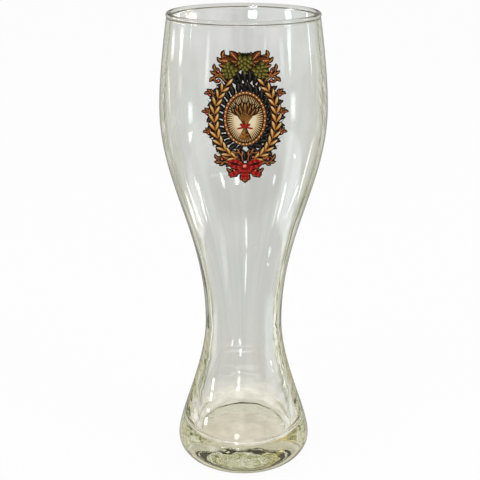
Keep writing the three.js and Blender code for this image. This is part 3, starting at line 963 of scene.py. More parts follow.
# Layout of the print in millimetres about its centre
MEDALLION = {"z": 0.4, "half_width": 8.4, "half_height": 11.2, "tuck": 0.2, "rim": 1.5, "beads": 36}
WREATH = {"half_width": 14.3, "half_height": 19.4, "start": -74, "end": 52, "pairs": 11}
GRAIN = {"length": 4.8, "width": 2.1, "lean": 28}
SHEAF = {"tie": -3.4, "stalks": 11, "spread": 70, "reach": 11.4, "ear": 4.6, "ear_width": 1.75, "foot": 6.4}
HOP = {"length": 9.2, "width": 3.4, "rows": 6, "bract": 3.1, "bract_width": 2.7, "belly": 1.75, "open": 30}
LEAF = {"length": 8.6, "width": 4.6, "lobes": ((0, 1.0), (-44, 0.72), (44, 0.72), (-86, 0.48), (86, 0.48))}
BOW = {"z": -22.4, "loop": 8.4, "height": 4.8, "lift": 14, "tail": 8.6, "tail_width": 2.6, "drop": 46}
PENDANT = {"z": -28.6, "half_width": 1.3, "half_height": 2.0}
CONES = {"left": (-4.6, 25.4, -128), "middle": (0.0, 29.8, -90), "right": (4.6, 25.4, -52)}
CONE_LEVELS = {"left": 5, "middle": 12, "right": 5}
LEAVES = {"left": (-2.6, 26.0, 176), "right": (2.6, 26.0, 4)}
BEAD_RADIUS = 0.52
BERRY_RADIUS = 0.8
FEATHER = {"reach": 5.2, "width": 2.0, "bulge": 1.1, "bend": 24}

# Distance in millimetres between the points inside the backing
BACKING_SPACING = 1.2

# Scrolls of the right half: place, heading, reach, bend and half-width
SCROLLS = (
    (6.0, 23.2, 14, 12.0, 300, 0.42),
    (9.0, 17.4, 50, 9.5, -300, 0.38),
    (9.8, 20.4, -14, 8.4, 330, 0.32),
    (14.5, 10.4, 66, 4.4, -280, 0.24),
    (16.2, 1.6, 74, 4.0, -280, 0.22),
    (15.6, -7.4, 66, 4.0, -280, 0.22),
    (3.0, -21.2, 6, 14.0, 310, 0.44),
    (8.0, -19.6, -34, 9.0, 320, 0.34),
    (2.4, -24.2, -52, 8.4, 320, 0.32),
    (1.2, -19.6, 84, 9.6, -290, 0.36),
)
SCROLL_STEPS = 26
SCROLL_POWER = 2.1
# Places of the leaves along a scroll, and their turn away from it and bend in degrees
LEAF_SHARES = (0.25, 0.42, 0.6)
LEAF_TURN = 38
LEAF_BEND = 34


def petal_motif(reach, width, steps=8, bulge=1.0, bend=0.0):
    """One petal that grows from its seed."""
    sheet = Sheet()
    sheet.petal(0, 0, 0, reach, width, steps, bulge, bend)
    return sheet


def round_motif(radius, rings, sides):
    """One disc in the second ink, with its seed in the middle."""
    sheet = Sheet()
    sheet.oval((0, 0), radius, radius, ink=1, rings=rings, sides=sides)
    return sheet


def draw_field():
    m = MEDALLION
    sheet = Sheet(keyline=False)
    sheet.oval((0, m["z"]), m["half_width"] + m["tuck"], m["half_height"] + m["tuck"], rings=10, sides=72)
    sheet.outline_oval((0, m["z"]), m["half_width"] + m["rim"], m["half_height"] + m["rim"])
    return sheet


def draw_rim():
    m = MEDALLION
    sheet = Sheet(keyline=False)
    half = m["rim"] / 2
    middle = ((0, m["z"]), m["half_width"] + half, m["half_height"] + half)
    loop = arc(*middle, 0, 360, 108)
    sheet.strip(loop, [half] * len(loop), columns=6)
    for x, z in arc(*middle, 5, 365, m["beads"])[:-1]:
        sheet.seed(x, z, 0, depth=LAYER)
    return sheet


def draw_sheaf():
    """Stalks from the outermost to the middle one, each with its ear, three awns and its foot."""
    s = SHEAF
    sheet = Sheet(keyline=False)
    tie = MEDALLION["z"] + s["tie"]
    last = s["stalks"] - 1
    for level, index in enumerate(sorted(range(s["stalks"]), key=lambda i: -abs(i - last / 2))):
        lean = (index / last - 0.5) * s["spread"]
        heading = 90 - lean * 1.15
        low, high = 0.008 + level * 0.0004, 0.014 + level * LAYER
        reach = s["reach"] * (1 - 0.26 * abs(lean / s["spread"]) - 0.10 * (index % 2))
        stalk = stroke(0, tie, 90 - lean * 0.7, reach - s["ear"] + 0.4, bend=-lean * 0.5)
        foot = stroke(0, tie, -90 + lean * 0.62, s["foot"] * (1 - 0.10 * (index % 2)), 5)
        top = stalk[-1]
        tip = stroke(*top, heading, s["ear"] * 0.9, 1)[-1]
        sheet.strip(stalk, taper(6, 0.46, 0.46), ink=1)
        sheet.strip(stalk, taper(6, 0.24, 0.24), depth=low)
        sheet.petal(*top, heading, s["ear"] + 0.7, s["ear_width"] + 0.75, depth=high, ink=1)
        sheet.petal(*top, heading, s["ear"], s["ear_width"], depth=high + 0.008, ink=2, columns=6)
        for spread in (-9, 0, 9):
            sheet.stem(*tip, heading + spread, 2.3, 0.13, 0.03, 3, depth=high + 0.004, ink=1, columns=2)
        sheet.strip(foot, taper(5, 0.40, 0.62), ink=1)
        sheet.strip(foot, taper(5, 0.20, 0.40), depth=low)
    return sheet


def draw_band():
    tie = MEDALLION["z"] + SHEAF["tie"]
    sheet = Sheet(keyline=False)
    sheet.stem(-1.5, tie + 0.3, -8, 3.0, 0.85, 0.85, 8, 16, columns=6)
    for side in (-1, 1):
        sheet.stem(side * 0.2, tie, onto_side(side, -32), 3.6, 0.5, 0.34, bend=side * 30, depth=0.01)
        sheet.petal(0, tie, onto_side(side, 24), 2.7, 1.5, 7, 1.4, depth=0.02)
    sheet.oval((0, tie), 0.62, 0.62, depth=0.03, sides=12)
    return sheet


def draw_barley(side):
    """A bent stalk with pairs of grains, each with its awn, and one grain at its end."""
    w, g = WREATH, GRAIN
    sheet = Sheet()
    span = w["end"] - w["start"]
    stalk = [on_wreath(w, side, w["start"] - 6 + (span + 8) * i / 40)[:2] for i in range(41)]
    sheet.strip(stalk, taper(40, 0.36, 0.24), ink=1)
    for pair in range(w["pairs"]):
        x, z, heading = on_wreath(w, side, w["start"] + pair * (span / w["pairs"]))
        size = 0.86 + 0.14 * math.sin(math.pi * (pair + 1) / w["pairs"])
        for edge in (-1, 1):
            turn = heading + edge * g["lean"]
            sheet.seed(x, z, turn, size, depth=LAYER * (1 + pair % 2) + 0.004 * (edge > 0))
            tip = stroke(x, z, turn, g["length"] * size * 0.92, 1)[-1]
            sheet.stem(*tip, turn - edge * 6, 3.0, 0.17, 0.04, 5, edge * 14, depth=LAYER / 2, ink=1,
                       columns=2, keyline=False)
    x, z, heading = on_wreath(w, side, w["end"])
    sheet.seed(x, z, heading, 0.95, depth=0.03)
    return sheet


def draw_hop(x, z, angle):
    """A hop cone: rows of bracts that overlap from the tip up to the stem."""
    h = HOP
    sheet = Sheet()
    sheet.petal(x, z, angle, h["length"], h["width"], columns=6)
    across = math.radians(angle + 90)
    for row in range(h["rows"]):
        share = row / h["rows"]
        root = stroke(x, z, angle, (h["length"] - h["bract"]) * share + 0.001, 1)[-1]
        belly = h["belly"] * math.sin(math.pi * (0.22 + 0.72 * share))
        level = 0.018 * (h["rows"] - row)
        for place in (-1, 0, 1) if row % 2 == 0 else (-0.55, 0.55):
            spot = (root[0] + belly * place * math.cos(across), root[1] + belly * place * math.sin(across))
            sheet.seed(*spot, angle + place * h["open"] * (1 - 0.5 * share), 1.0 - 0.22 * share,
                       depth=level + LAYER / 2 * (1 - abs(place)))
    tip = stroke(x, z, angle, h["length"] - h["bract"] * 0.8, 1)[-1]
    sheet.seed(*tip, angle, 0.75, depth=LAYER / 2)
    return sheet


def draw_leaf(x, z, angle):
    sheet = Sheet()
    for level, (turn, share) in enumerate(LEAF["lobes"]):
        sheet.petal(x, z, angle + turn, LEAF["length"] * share, LEAF["width"] * share, 10, 1.2, columns=6,
                    depth=LAYER * (len(LEAF["lobes"]) - level))
    return sheet


def draw_bow():
    """Two tails and a loop at each side, the loop with an arch of ribbon over and under it, and a knot."""
    b = BOW
    sheet = Sheet()
    for side in (-1, 1):
        for drop, share, bend, level in ((b["drop"], 1.0, 26, 0.01), (b["drop"] + 26, 0.8, -20, 0.0)):
            sheet.stem(0, b["z"], onto_side(side, -drop), b["tail"] * share, 0.7, b["tail_width"] / 2, 9,
                       side * bend, depth=level, columns=6)
        heading = onto_side(side, b["lift"])
        sheet.petal(0, b["z"], heading, b["loop"], b["height"], 10, 1.25, depth=0.02, ink=1)
        cos, sin = math.cos(math.radians(heading)), math.sin(math.radians(heading))
        for edge, level in ((1, 0.03), (-1, 0.04)):
            arch = []
            for step, half in enumerate(lens(12, b["height"] * 0.62, 1.25)):
                reach = b["loop"] * step / 12 * 0.97
                away = edge * side * half
                arch.append((reach * cos - away * sin, b["z"] + reach * sin + away * cos))
            sheet.strip(arch, [0.30 + 0.62 * math.sin(math.pi * i / 12) for i in range(13)], depth=level,
                        columns=6)
    sheet.oval((0, b["z"]), 1.5, 1.35, depth=0.055, ink=2, rings=4, sides=18)
    return sheet


def draw_pendant():
    p = PENDANT
    sheet = Sheet()
    sheet.oval((0, p["z"]), p["half_width"], p["half_height"], rings=4, sides=20)
    sheet.oval((0, p["z"] - 0.1), 0.62, 1.0, depth=LAYER, ink=1, rings=3, keyline=False)
    for step in range(3):
        sheet.oval((0, p["z"] + 2.5 + step * 0.9), 0.42, 0.42, depth=LAYER / 2, sides=10)
    return sheet


def draw_scrolls():
    sheet = Sheet()
    for side in (-1, 1):
        for level, (x, z, angle, reach, turn, half) in enumerate(SCROLLS):
            path = stroke(side * x, z, onto_side(side, angle), reach, SCROLL_STEPS, side * turn,
                          SCROLL_POWER)
            depth = LAYER * (level % 3)
            sheet.strip(path, taper(SCROLL_STEPS, half, 0.45 * half), depth=depth)
            sheet.seed(*path[-1], 0, 0.45 + half, depth=depth + LAYER)
            hand = side * math.copysign(1, turn)
            for share in LEAF_SHARES:
                index = round(share * SCROLL_STEPS)
                along = direction(path, index)
                heading = math.degrees(math.atan2(along.y, along.x)) - hand * LEAF_TURN
                sheet.petal(*path[index], heading, 5.2 * half + 0.9, 2.2 * half + 0.35, 6, 1.1,
                            hand * LEAF_BEND, depth=depth - LAYER / 2)
    return sheet


def draw_foliage():
    """Feathers round the medallion and the wreath, under the bow and over the medallion."""
    sheet = Sheet()
    m, w = MEDALLION, WREATH
    inner = {side: m[side] + m["rim"] - 0.4 for side in ("half_width", "half_height")}
    for side in (-1, 1):
        for step in range(13):
            x, z, heading = on_wreath(inner, side, -84 + step * 14)
            sheet.seed(x, z + m["z"], heading - side * 52, 1.0, depth=LAYER * (step % 2))
        for step in range(12):
            x, z, heading = on_wreath(w, side, -66 + step * 10, grow=-0.6)
            sheet.seed(x, z, heading - side * 118, 0.92, depth=LAYER * (step % 2))
        for step in range(5):
            sheet.seed(side * (1.0 + step * 2.1), -19.0 - 0.3 * step, onto_side(side, -62 + step * 16), 0.9,
                       depth=LAYER * (step % 2))
    for feathers, pitch, z, bow, fan in ((7, 2.3, -19.6, 0.2, 19), (9, 1.9, 17.0, -0.24, 13)):
        for step in range(feathers):
            place = step - feathers // 2
            sheet.seed(place * pitch, z + bow * place ** 2, 90 - place * fan, 1.05, depth=LAYER * (step % 2))
    return sheet


# Each group of drawings gives rows of name, sheet, motif, level, inks, slot and CAD nodes


def foliage_drawings():
    return [
        ("print_foliage", draw_foliage(), petal_motif(**FEATHER), 1, (("grey", tone_feather),),
         "enamel_charcoal", ()),
        ("print_scrolls", draw_scrolls(), round_motif(BERRY_RADIUS, 3, 12), 2,
         (("copper", tone_scroll), ("red", tone_disc)), "enamel_copper", ()),
    ]


def medallion_drawings():
    return [
        ("medallion_field", draw_field(), None, 2, (("cream", tone_field),), "enamel_cream",
         ("print_medallion_field",)),
        ("medallion_rim", draw_rim(), round_motif(BEAD_RADIUS, 2, 10), 3,
         (("copper", tone_rope), ("gold", tone_disc)), "enamel_copper", ("print_medallion_rim",)),
        ("sheaf", draw_sheaf(), None, 3, (("gold", tone_stalk), ("grey", tone_flat), ("gold", tone_feather)),
         "enamel_gold", ("print_sheaf",)),
        ("sheaf_band", draw_band(), None, 6, (("red", tone_ribbon),), "enamel_red", ("print_sheaf_band",)),
    ]


def barley_drawings():
    inks = (("gold", tone_grain), ("copper", tone_stalk))
    return [(f"barley_{name}", draw_barley(side), petal_motif(GRAIN["length"], GRAIN["width"]), 4, inks,
             "enamel_gold", (f"print_barley_{name}",)) for side, name in ((1, "right"), (-1, "left"))]


def hop_drawings():
    leaves = [(f"leaf_{side}", draw_leaf(*place), None, 3, (("copper", tone_leaf),), "enamel_copper",
               (f"print_leaf_{side}",)) for side, place in LEAVES.items()]
    cones = [(f"hop_{side}", draw_hop(*place), petal_motif(HOP["bract"], HOP["bract_width"], 7, 1.25),
              CONE_LEVELS[side], (("olive", tone_bract),), "enamel_olive", (f"print_hop_{side}",))
             for side, place in CONES.items()]
    return leaves + cones


def bow_drawings():
    return [
        ("bow", draw_bow(), None, 5, (("red", tone_ribbon), ("red", tone_flat), ("red", tone_disc)),
         "enamel_red", ("print_bow",)),
        ("pendant", draw_pendant(), None, 3, (("gold", tone_disc), ("red", tone_disc)), "enamel_gold",
         ("print_pendant",)),
    ]


def make_print(name, sheet, motif, level, inks, slot, nodes):
    """Lays a drawing on the front of the glass as a thin closed film."""
    layout = bpy.context.scene.glass_print
    stamp = new_piece(name + "_motif", (motif or Sheet()).mesh(name + "_motif"))
    piece = new_piece(name, sheet.mesh(name))
    tree = bpy.data.node_groups.get("wrap_on_glass") or wrap_tree()
    apply_tree(piece, tree, {
        "Motif": stamp, "Glass": bpy.data.objects["glass_body"], "Across": layout.across, "Up": layout.up,
        "Lift": layout.lift + level * layout.step, "Material": enamel("enamel_" + name, inks)}, layout.film)
    bpy.data.objects.remove(stamp)
    settle(piece, slot, *nodes)


def lay_drawings(rows):
    """Makes one piece from each row of a group."""
    for row in rows:
        make_print(*row)
    return {"FINISHED"}


class GLASS_OT_backing(bpy.types.Operator):
    """Make the dark film under the whole print, a keyline wider than its motifs"""

    bl_idname = "beer_glass.backing"
    bl_label = "Print backing"

    def execute(self, context):
        keyline = context.scene.glass_print.keyline / MM
        shapes = []
        for drawings in (foliage_drawings, medallion_drawings, barley_drawings, hop_drawings, bow_drawings):
            for row in drawings():
                shapes += row[1].grown(keyline, row[2])
        backing = union_sheet(shapes, BACKING_SPACING)
        return lay_drawings([("backing", backing, None, 0, (("grey", tone_flat),), "enamel_charcoal",
                              ("print_backing",))])


class GLASS_OT_foliage(bpy.types.Operator):
    """Make the dark foliage and the scrolls round the medallion"""

    bl_idname = "beer_glass.foliage"
    bl_label = "Foliage and scrolls"

    def execute(self, context):
        return lay_drawings(foliage_drawings())


class GLASS_OT_medallion(bpy.types.Operator):
    """Make the oval medallion with its wheat sheaf"""

    bl_idname = "beer_glass.medallion"
    bl_label = "Medallion"

    def execute(self, context):
        return lay_drawings(medallion_drawings())


class GLASS_OT_barley(bpy.types.Operator):
    """Make the two barley branches"""

    bl_idname = "beer_glass.barley"
    bl_label = "Barley branches"

    def execute(self, context):
        return lay_drawings(barley_drawings())


class GLASS_OT_hops(bpy.types.Operator):
    """Make the hop cones and their leaves"""

    bl_idname = "beer_glass.hops"
    bl_label = "Hops"

    def execute(self, context):
        return lay_drawings(hop_drawings())


class GLASS_OT_bow(bpy.types.Operator):
    """Make the bow and its pendant"""

    bl_idname = "beer_glass.bow"
    bl_label = "Bow and pendant"

    def execute(self, context):
        return lay_drawings(bow_drawings())


# Part of the floor's look that is its own even glow
GLOW_SHARE = 0.95
# Least distance behind the axis, in metres, that a bearing on the floor is worked out for
NEAREST = 0.10
# Parts of a ray's unit direction: ahead at the edge of the backdrop, up where the room grows lighter, and
# left at the middle of the gold light, with half its width
BACKDROP_EDGE = 0.35
ROOM_LIGHTENS = 0.44
GOLD_LEFT = 0.32
GOLD_HALF = 0.24
# Soft lamps: azimuth and elevation in degrees, width in metres and share of the lamps' brightness
LAMPS = {"soft_right": (60, 40, 0.7, 1.0), "soft_left": (-50, 45, 0.9, 0.8)}
# Distance of the soft lamps, and the height from which it is measured
LAMP_DISTANCE = 1.4
LAMP_CENTRE = 0.17
# Most times that light may pass through a surface, and be mirrored by one
GLASS_BOUNCES = 24
MIRROR_BOUNCES = 12


def ray_kinds(graph):
    """One for the camera's rays, and one for rays that a reflection or a passage through glass sent on."""
    camera = graph.node("ShaderNodeLightPath", {}, {}, output="Is Camera Ray")
    return camera, graph.other(camera, "Is Glossy Ray").max(graph.other(camera, "Is Transmission Ray"))


def floor_material(stage):
    """White paper, which glass shows as a grey backdrop with lighter sides."""
    material, graph = new_material("stage_floor")
    camera, mirrored = ray_kinds(graph)
    place = graph.node("ShaderNodeTexCoord", {}, {}, output="Object")
    x, y, _ = graph.split(place)
    bearing = x / y.max(NEAREST)
    reach = (x * x + y * y) ** 0.5

    def noise(across, along, detail=2.0):
        return graph.noise(graph.join(across, along, 0.0), 1.0, detail, dimensions="2D")

    patches = noise(bearing * 10, y * 9, detail=3.0)
    side = graph.node("ShaderNodeValToRGB", {"stops": ROOM_STOPS}, {0: patches})
    aside = abs(bearing)
    beside = aside.above(stage.side_start, slope=2.2) * aside.below(5.0, slope=0.6) * y.above(0.0, slope=12)
    faded = graph.mix_colour(y.above(stage.far_start, slope=0.9), stage.behind, stage.far_behind)
    nearby = reach.below(stage.near_radius, slope=45)
    around_foot = graph.mix_colour(nearby, graph.mix_colour(beside, faded, side), stage.near_foot)
    below = reach.below(stage.under_radius, slope=400)
    seen = graph.mix_colour(below, around_foot, stage.under_foot)
    fine_streaks = noise(bearing * 44, y * 0.8) * 0.26 + 0.87
    streaks = fine_streaks * (noise(bearing * 7 + 3, y * 2) * 0.30 + 0.85)
    mottle = noise(x * 120, y * 120) * 0.7 + 0.65
    shown = graph.scaled(seen, nearby * (mottle - streaks) + streaks)
    colour = graph.mix_colour(mirrored, stage.background, shown)
    paper = graph.node("ShaderNodeBsdfPrincipled", {}, {
        "Base Color": stage.background, "Roughness": graph.noise(place, scale=40.0) * 0.1 + 0.8})
    glow = graph.node("ShaderNodeEmission", {}, {"Color": colour, "Strength": 1.0})
    finish_material(graph, graph.mix_shader(camera.max(mirrored) * GLOW_SHARE, paper, glow))
    return material


def add_lamp(name, place, size, radiance):
    """Soft lamp that faces the glass and lights without showing in it."""
    lamp = bpy.data.lights.new(name, "AREA")
    lamp.shape = "RECTANGLE"
    lamp.size = lamp.size_y = size
    lamp.energy = radiance * math.pi * size * size
    holder = new_piece(name, lamp)
    holder.location = place
    holder.rotation_mode = "QUATERNION"
    holder.rotation_quaternion = (Vector((0, 0, HEIGHT / 2)) - Vector(place)).to_track_quat("-Z", "Y")
    for ray in ("camera", "glossy", "transmission"):
        setattr(holder, "visible_" + ray, False)


def around(azimuth, elevation):
    """Lamp's place, at an azimuth from the viewer's side towards the viewer's right, and an elevation."""
    turn = math.radians(azimuth)
    rise = math.radians(elevation)
    flat = LAMP_DISTANCE * math.cos(rise)
    return (flat * math.sin(turn), -flat * math.cos(turn), LAMP_CENTRE + LAMP_DISTANCE * math.sin(rise))


COOL = (0.86, 0.93, 1.0)
PLAIN = (1.0, 1.0, 1.0)
CREAM = (1.0, 0.88, 0.66)
PEACH = (1.0, 0.80, 0.68)
AMBER = (1.0, 0.82, 0.25)
# Glints of the photograph, in its pixels: side, start, end, half-widths at both, light, hardness of the
# edge and colour. The side is the near wall, or the far wall, whose cards stand inside the bowl.
NEAR, FAR = False, True
GLINTS = (
    (FAR, (252.5, 9.5), (252.5, 19), 5.2, 4.6, 20.0, 3.0, COOL),
    (FAR, (287, 9), (290, 24), 4.0, 2.6, 14.0, 1.5, COOL),
    (FAR, (290, 24), (292, 78), 2.6, 1.0, 12.0, 1.2, COOL),
    (FAR, (193, 12), (192, 22), 4.6, 3.8, 13.0, 1.6, CREAM),
    (FAR, (186, 12), (190, 26), 1.2, 1.0, 14.0, 1.5, CREAM),
    (FAR, (174, 15), (178, 22), 5.0, 5.0, 6.0, 1.5, PEACH),
    (NEAR, (182.5, 26), (180, 68), 2.2, 1.4, 10.0, 1.3, PLAIN),
    (NEAR, (174, 28), (172, 62), 1.2, 1.6, 6.0, 1.0, PLAIN),
    (NEAR, (209, 30), (206, 92), 1.8, 2.6, 5.0, 1.0, PLAIN),
    (NEAR, (265, 36), (266, 76), 1.4, 1.4, 4.0, 1.0, PLAIN),
    (NEAR, (281, 34), (283, 80), 2.4, 2.6, 3.6, 1.0, COOL),
    (NEAR, (190, 100), (190.5, 125), 2.8, 2.8, 8.0, 1.2, COOL),
    (NEAR, (293, 90), (293, 122), 3.0, 3.0, 8.0, 1.2, COOL),
    (NEAR, (294.7, 153.5), (294.7, 158.5), 1.3, 1.3, 10.0, 1.5, PLAIN),
    (NEAR, (314, 136), (296.5, 204), 1.0, 0.9, 5.0, 1.2, PLAIN),
    (NEAR, (168.5, 62), (169.5, 112), 0.8, 0.7, 3.5, 1.0, CREAM),
    (NEAR, (181, 70), (180, 98), 2.6, 2.2, 2.2, 1.0, CREAM),
    (FAR, (193, 176), (195, 191), 1.1, 0.9, 10.0, 1.5, PLAIN),
    (FAR, (195.5, 181), (206, 223), 1.7, 0.9, 14.0, 1.8, PLAIN),
    (FAR, (185, 190), (198, 232), 1.2, 0.8, 7.0, 1.2, PLAIN),
    (NEAR, (220, 171), (225, 189), 1.8, 1.6, 11.0, 1.4, PLAIN),
    (FAR, (288, 182), (279, 221), 1.6, 1.0, 14.0, 1.8, COOL),
    (FAR, (276.5, 174), (274.5, 186), 1.3, 1.1, 12.0, 1.5, COOL),
    (NEAR, (246, 216), (246.6, 252), 1.3, 1.0, 9.0, 1.3, PLAIN),
    (NEAR, (270, 246), (268.5, 262), 1.0, 1.2, 5.0, 1.3, PLAIN),
    (NEAR, (269, 292), (273, 398), 6.0, 8.0, 2.2, 1.8, COOL),
    (NEAR, (216, 300), (212, 372), 3.0, 5.0, 2.4, 1.0, PLAIN),
    (NEAR, (214, 378), (210.5, 402), 1.4, 1.4, 12.0, 1.8, PLAIN),
    (NEAR, (240, 338.5), (240, 344.5), 1.4, 1.4, 11.0, 1.8, PLAIN),
    (NEAR, (240.5, 349), (240.5, 356), 1.2, 1.2, 11.0, 1.8, PLAIN),
    (NEAR, (238.7, 369.5), (238.7, 377.5), 1.4, 1.4, 9.0, 1.5, PLAIN),
    (NEAR, (238.7, 380), (238.7, 387), 2.0, 2.0, 8.0, 1.8, PLAIN),
    (NEAR, (207, 446), (222, 456), 2.6, 3.4, 4.0, 1.0, PLAIN),
    (NEAR, (274, 457), (284, 448), 3.2, 2.6, 5.0, 1.0, AMBER),
    (NEAR, (222, 345.5), (258, 345.5), 1.3, 1.3, 2.4, 1.0, PLAIN),
    (NEAR, (224, 352.5), (257, 352.5), 1.6, 1.6, 3.2, 1.0, PLAIN),
    (NEAR, (220, 366), (262, 366), 1.2, 1.2, 2.0, 1.0, PLAIN),
    (NEAR, (216, 374), (266, 374), 1.4, 1.4, 2.6, 1.0, PLAIN),
)
# Rows and columns of a card's mesh, its least height over the floor, and half the floor's width
CARD_GRID = (9, 5)
CARD_LOWEST = 4 * MM
FLOOR_HALF = 6.0


def picture_ray(stage, x, y):
    """Start and direction of the view through a place in the photograph."""
    tilt = stage.camera_tilt
    ahead = Vector((0.0, math.cos(tilt), -math.sin(tilt)))
    below = Vector((0.0, -math.sin(tilt), -math.cos(tilt)))
    across = Vector((1.0, 0.0, 0.0))
    way = ahead * stage.focal_pixels + across * (x - PHOTO_AXIS_X) + below * (y - PHOTO_SIZE / 2)
    return Vector((0.0, -stage.camera_distance, HEIGHT + stage.camera_rise)), way.normalized()


def mirrored_ray(wall, start, way, far):
    """Where a ray meets the near or the far side of a revolved wall, and its direction from there."""
    lowest, highest = wall[0][1], wall[-1][1]

    def radius(height):
        return radius_at(wall, min(max(height, lowest), highest))

    inside = -(start.x * way.x + start.y * way.y) / (way.x ** 2 + way.y ** 2)
    outside = inside + (60 if far else -60) * MM
    for _ in range(30):
        middle = (inside + outside) / 2
        place = start + way * middle
        if math.hypot(place.x, place.y) < radius(place.z):
            inside = middle
        else:
            outside = middle
    slope = (radius(place.z + MM) - radius(place.z - MM)) / (2 * MM)
    normal = Vector((place.x, place.y, -slope * math.hypot(place.x, place.y))).normalized()
    return place, way - 2 * way.dot(normal) * normal


class GLASS_OT_stage(bpy.types.Operator):
    """Make the floor, the soft light and the camera"""

    bl_idname = "beer_glass.stage"
    bl_label = "Stage"

    def execute(self, context):
        scene = context.scene
        stage = scene.glass_stage
        self.make_floor(stage)
        self.make_world(scene, stage)
        outer = outer_outline(scene.glass_shape)
        inner = [(r - wall_at(scene.glass_shape, z), z) for r, z in outer]
        for index, glint in enumerate(GLINTS):
            self.make_card(f"card_{index:02d}", inner if glint[0] else outer, stage, glint)
        for name, (azimuth, elevation, size, share) in LAMPS.items():
            add_lamp(name, around(azimuth, elevation), size, stage.soft_light * share)
        self.make_camera(scene, stage)
        scene.view_settings.view_transform = "Standard"
        scene.cycles.max_bounces = GLASS_BOUNCES
        scene.cycles.transmission_bounces = GLASS_BOUNCES
        scene.cycles.glossy_bounces = MIRROR_BOUNCES
        return {"FINISHED"}

    def make_floor(self, stage):
        mesh = bmesh.new()
        bmesh.ops.create_grid(mesh, x_segments=8, y_segments=8, size=FLOOR_HALF)
        data = bpy.data.meshes.new("stage_floor")
        mesh.to_mesh(data)
        mesh.free()
        data.materials.append(floor_material(stage))
        new_piece("stage_floor", data)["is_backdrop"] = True

    def card_material(self, name, colour, light, hardness):
        """Light that fades towards the card's edges, over a clear ground."""
        material, graph = new_material(name)
        u, v, _ = graph.split(graph.node("ShaderNodeUVMap", {"uv_map": "card"}))
        fade = ((1.0 - u * u) * (1.0 - v * v) * hardness).clip()
        glow = graph.node("ShaderNodeEmission", {}, {"Color": graph.scaled(colour, fade), "Strength": light})
        clear = graph.node("ShaderNodeBsdfTransparent")
        finish_material(graph, graph.node("ShaderNodeAddShader", {}, {0: clear, 1: glow}))
        return material

    def make_card(self, name, wall, stage, glint):
        """A glowing card placed where the wall mirrors it into one place of the photograph."""
        far, start, end, half_start, half_end, light, hardness, colour = glint
        along = Vector((end[0] - start[0], end[1] - start[1]))
        aside = Vector((along.y, -along.x)).normalized()
        rows, columns = CARD_GRID
        corners, places = [], []
        for row in range(rows):
            share = row / (rows - 1)
            half = half_start + (half_end - half_start) * share
            for column in range(columns):
                across = 2 * column / (columns - 1) - 1
                spot = Vector(start) + along * share + aside * across * half
                hit, way = mirrored_ray(wall, *picture_ray(stage, *spot), far)
                reach = stage.inner_reach if far else stage.card_reach
                if way.z < 0:
                    reach = min(reach, (hit.z - CARD_LOWEST) / -way.z)
                corners.append(hit + way * reach)
                places.append((across, 2 * share - 1))
        faces = [(low, low + 1, low + columns + 1, low + columns)
                 for low in range((rows - 1) * columns) if low % columns < columns - 1]
        mesh = bpy.data.meshes.new(name)
        mesh.from_pydata(corners, [], faces)
        layer = mesh.uv_layers.new(name="card")
        for loop in mesh.loops:
            layer.data[loop.index].uv = places[loop.vertex_index]
        mesh.materials.append(self.card_material(name, colour, light, hardness))
        card = new_piece(name, mesh)
        for ray in ("camera", "diffuse", "shadow", "transmission", "volume_scatter"):
            setattr(card, "visible_" + ray, False)
        card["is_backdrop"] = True

    def make_world(self, scene, stage):
        """A white room, which glass shows with a dark strip over the horizon and soft patches above it."""
        world = bpy.data.worlds.new("soft_room")
        world.use_nodes = True
        world.node_tree.nodes.clear()
        graph = Graph(world.node_tree)
        camera, mirrored = ray_kinds(graph)
        way = graph.node("ShaderNodeTexCoord", {}, {}, output="Generated")
        right, ahead, rise = graph.split(way)
        patches = graph.noise(way, scale=11.0, detail=4.0, roughness=0.66)
        lightened = patches + rise.above(ROOM_LIGHTENS, slope=0.4)
        room = graph.node("ShaderNodeValToRGB", {"stops": ROOM_STOPS}, {0: lightened})
        strip = graph.node("ShaderNodeValToRGB", {"stops": STRIP_STOPS}, {0: patches})
        gold = abs(right + GOLD_LEFT).below(GOLD_HALF, slope=8) * patches.above(0.42, slope=6)
        room = graph.mix_colour(gold, room, stage.warm_lamp)
        above = graph.mix_colour(rise.above(stage.strip_high, slope=12), strip, room)
        above = graph.mix_colour(rise.above(stage.overhead_start, slope=12), above, stage.overhead)
        level = graph.mix_colour(ahead.above(BACKDROP_EDGE, slope=5), stage.horizon, stage.far_behind)
        shown = graph.mix_colour(rise.above(stage.strip_low, slope=40), level, above)
        seen = graph.node("ShaderNodeBackground", {}, {
            "Color": graph.mix_colour(mirrored, stage.background, shown)})
        light = graph.node("ShaderNodeBackground", {}, {
            "Color": stage.background, "Strength": stage.room_light})
        both = graph.mix_shader(camera.max(mirrored), light, seen)
        graph.node("ShaderNodeOutputWorld", {}, {"Surface": both})
        scene.world = world

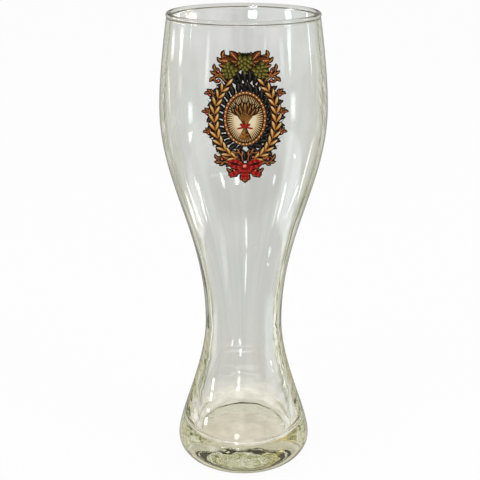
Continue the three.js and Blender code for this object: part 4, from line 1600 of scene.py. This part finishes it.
    def make_camera(self, scene, stage):
        data = bpy.data.cameras.new("photo_camera")
        data.sensor_width = SENSOR
        data.lens = SENSOR * stage.focal_pixels / PHOTO_SIZE
        data.shift_x = (PHOTO_SIZE / 2 - PHOTO_AXIS_X) / PHOTO_SIZE
        camera = new_piece("photo_camera", data)
        camera.location = (0.0, -stage.camera_distance, HEIGHT + stage.camera_rise)
        camera.rotation_euler = (math.pi / 2 - stage.camera_tilt, 0.0, 0.0)
        scene.camera = camera


class GLASS_PT_panel(bpy.types.Panel):
    """Lists the pieces of the glass"""

    bl_idname = "GLASS_PT_panel"
    bl_label = "Beer glass"
    bl_space_type = "VIEW_3D"
    bl_region_type = "UI"
    bl_category = "Beer glass"

    def draw(self, context):
        for operator in OPERATORS:
            self.layout.operator(operator.bl_idname)


OPERATORS = (GLASS_OT_vessel, GLASS_OT_backing, GLASS_OT_foliage, GLASS_OT_medallion, GLASS_OT_barley,
             GLASS_OT_hops, GLASS_OT_bow, GLASS_OT_stage)
GROUPS = {"glass_shape": GlassShape, "glass_finish": GlassFinish, "glass_print": PrintLayout,
          "glass_stage": StageSet}


def register():
    for item in (*GROUPS.values(), *OPERATORS, GLASS_PT_panel):
        bpy.utils.register_class(item)
    for name, group in GROUPS.items():
        setattr(bpy.types.Scene, name, PointerProperty(type=group))


def unregister():
    for name in GROUPS:
        delattr(bpy.types.Scene, name)
    for item in (GLASS_PT_panel, *reversed(OPERATORS), *reversed(GROUPS.values())):
        bpy.utils.unregister_class(item)


def write_sizes():
    """Works out the frame's box and the finished object's box as plain lists."""
    boxes = {"cad": CAD_BOX, "visual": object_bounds()}
    plain = {name: [list(low), list(high)] for name, (low, high) in boxes.items()}


def main():
    register()
    bpy.ops.beer_glass.vessel()
    bpy.ops.beer_glass.backing()
    bpy.ops.beer_glass.foliage()
    bpy.ops.beer_glass.medallion()
    bpy.ops.beer_glass.barley()
    bpy.ops.beer_glass.hops()
    bpy.ops.beer_glass.bow()
    bpy.ops.beer_glass.stage()
    write_sizes()


if __name__ == "__main__":
    main()
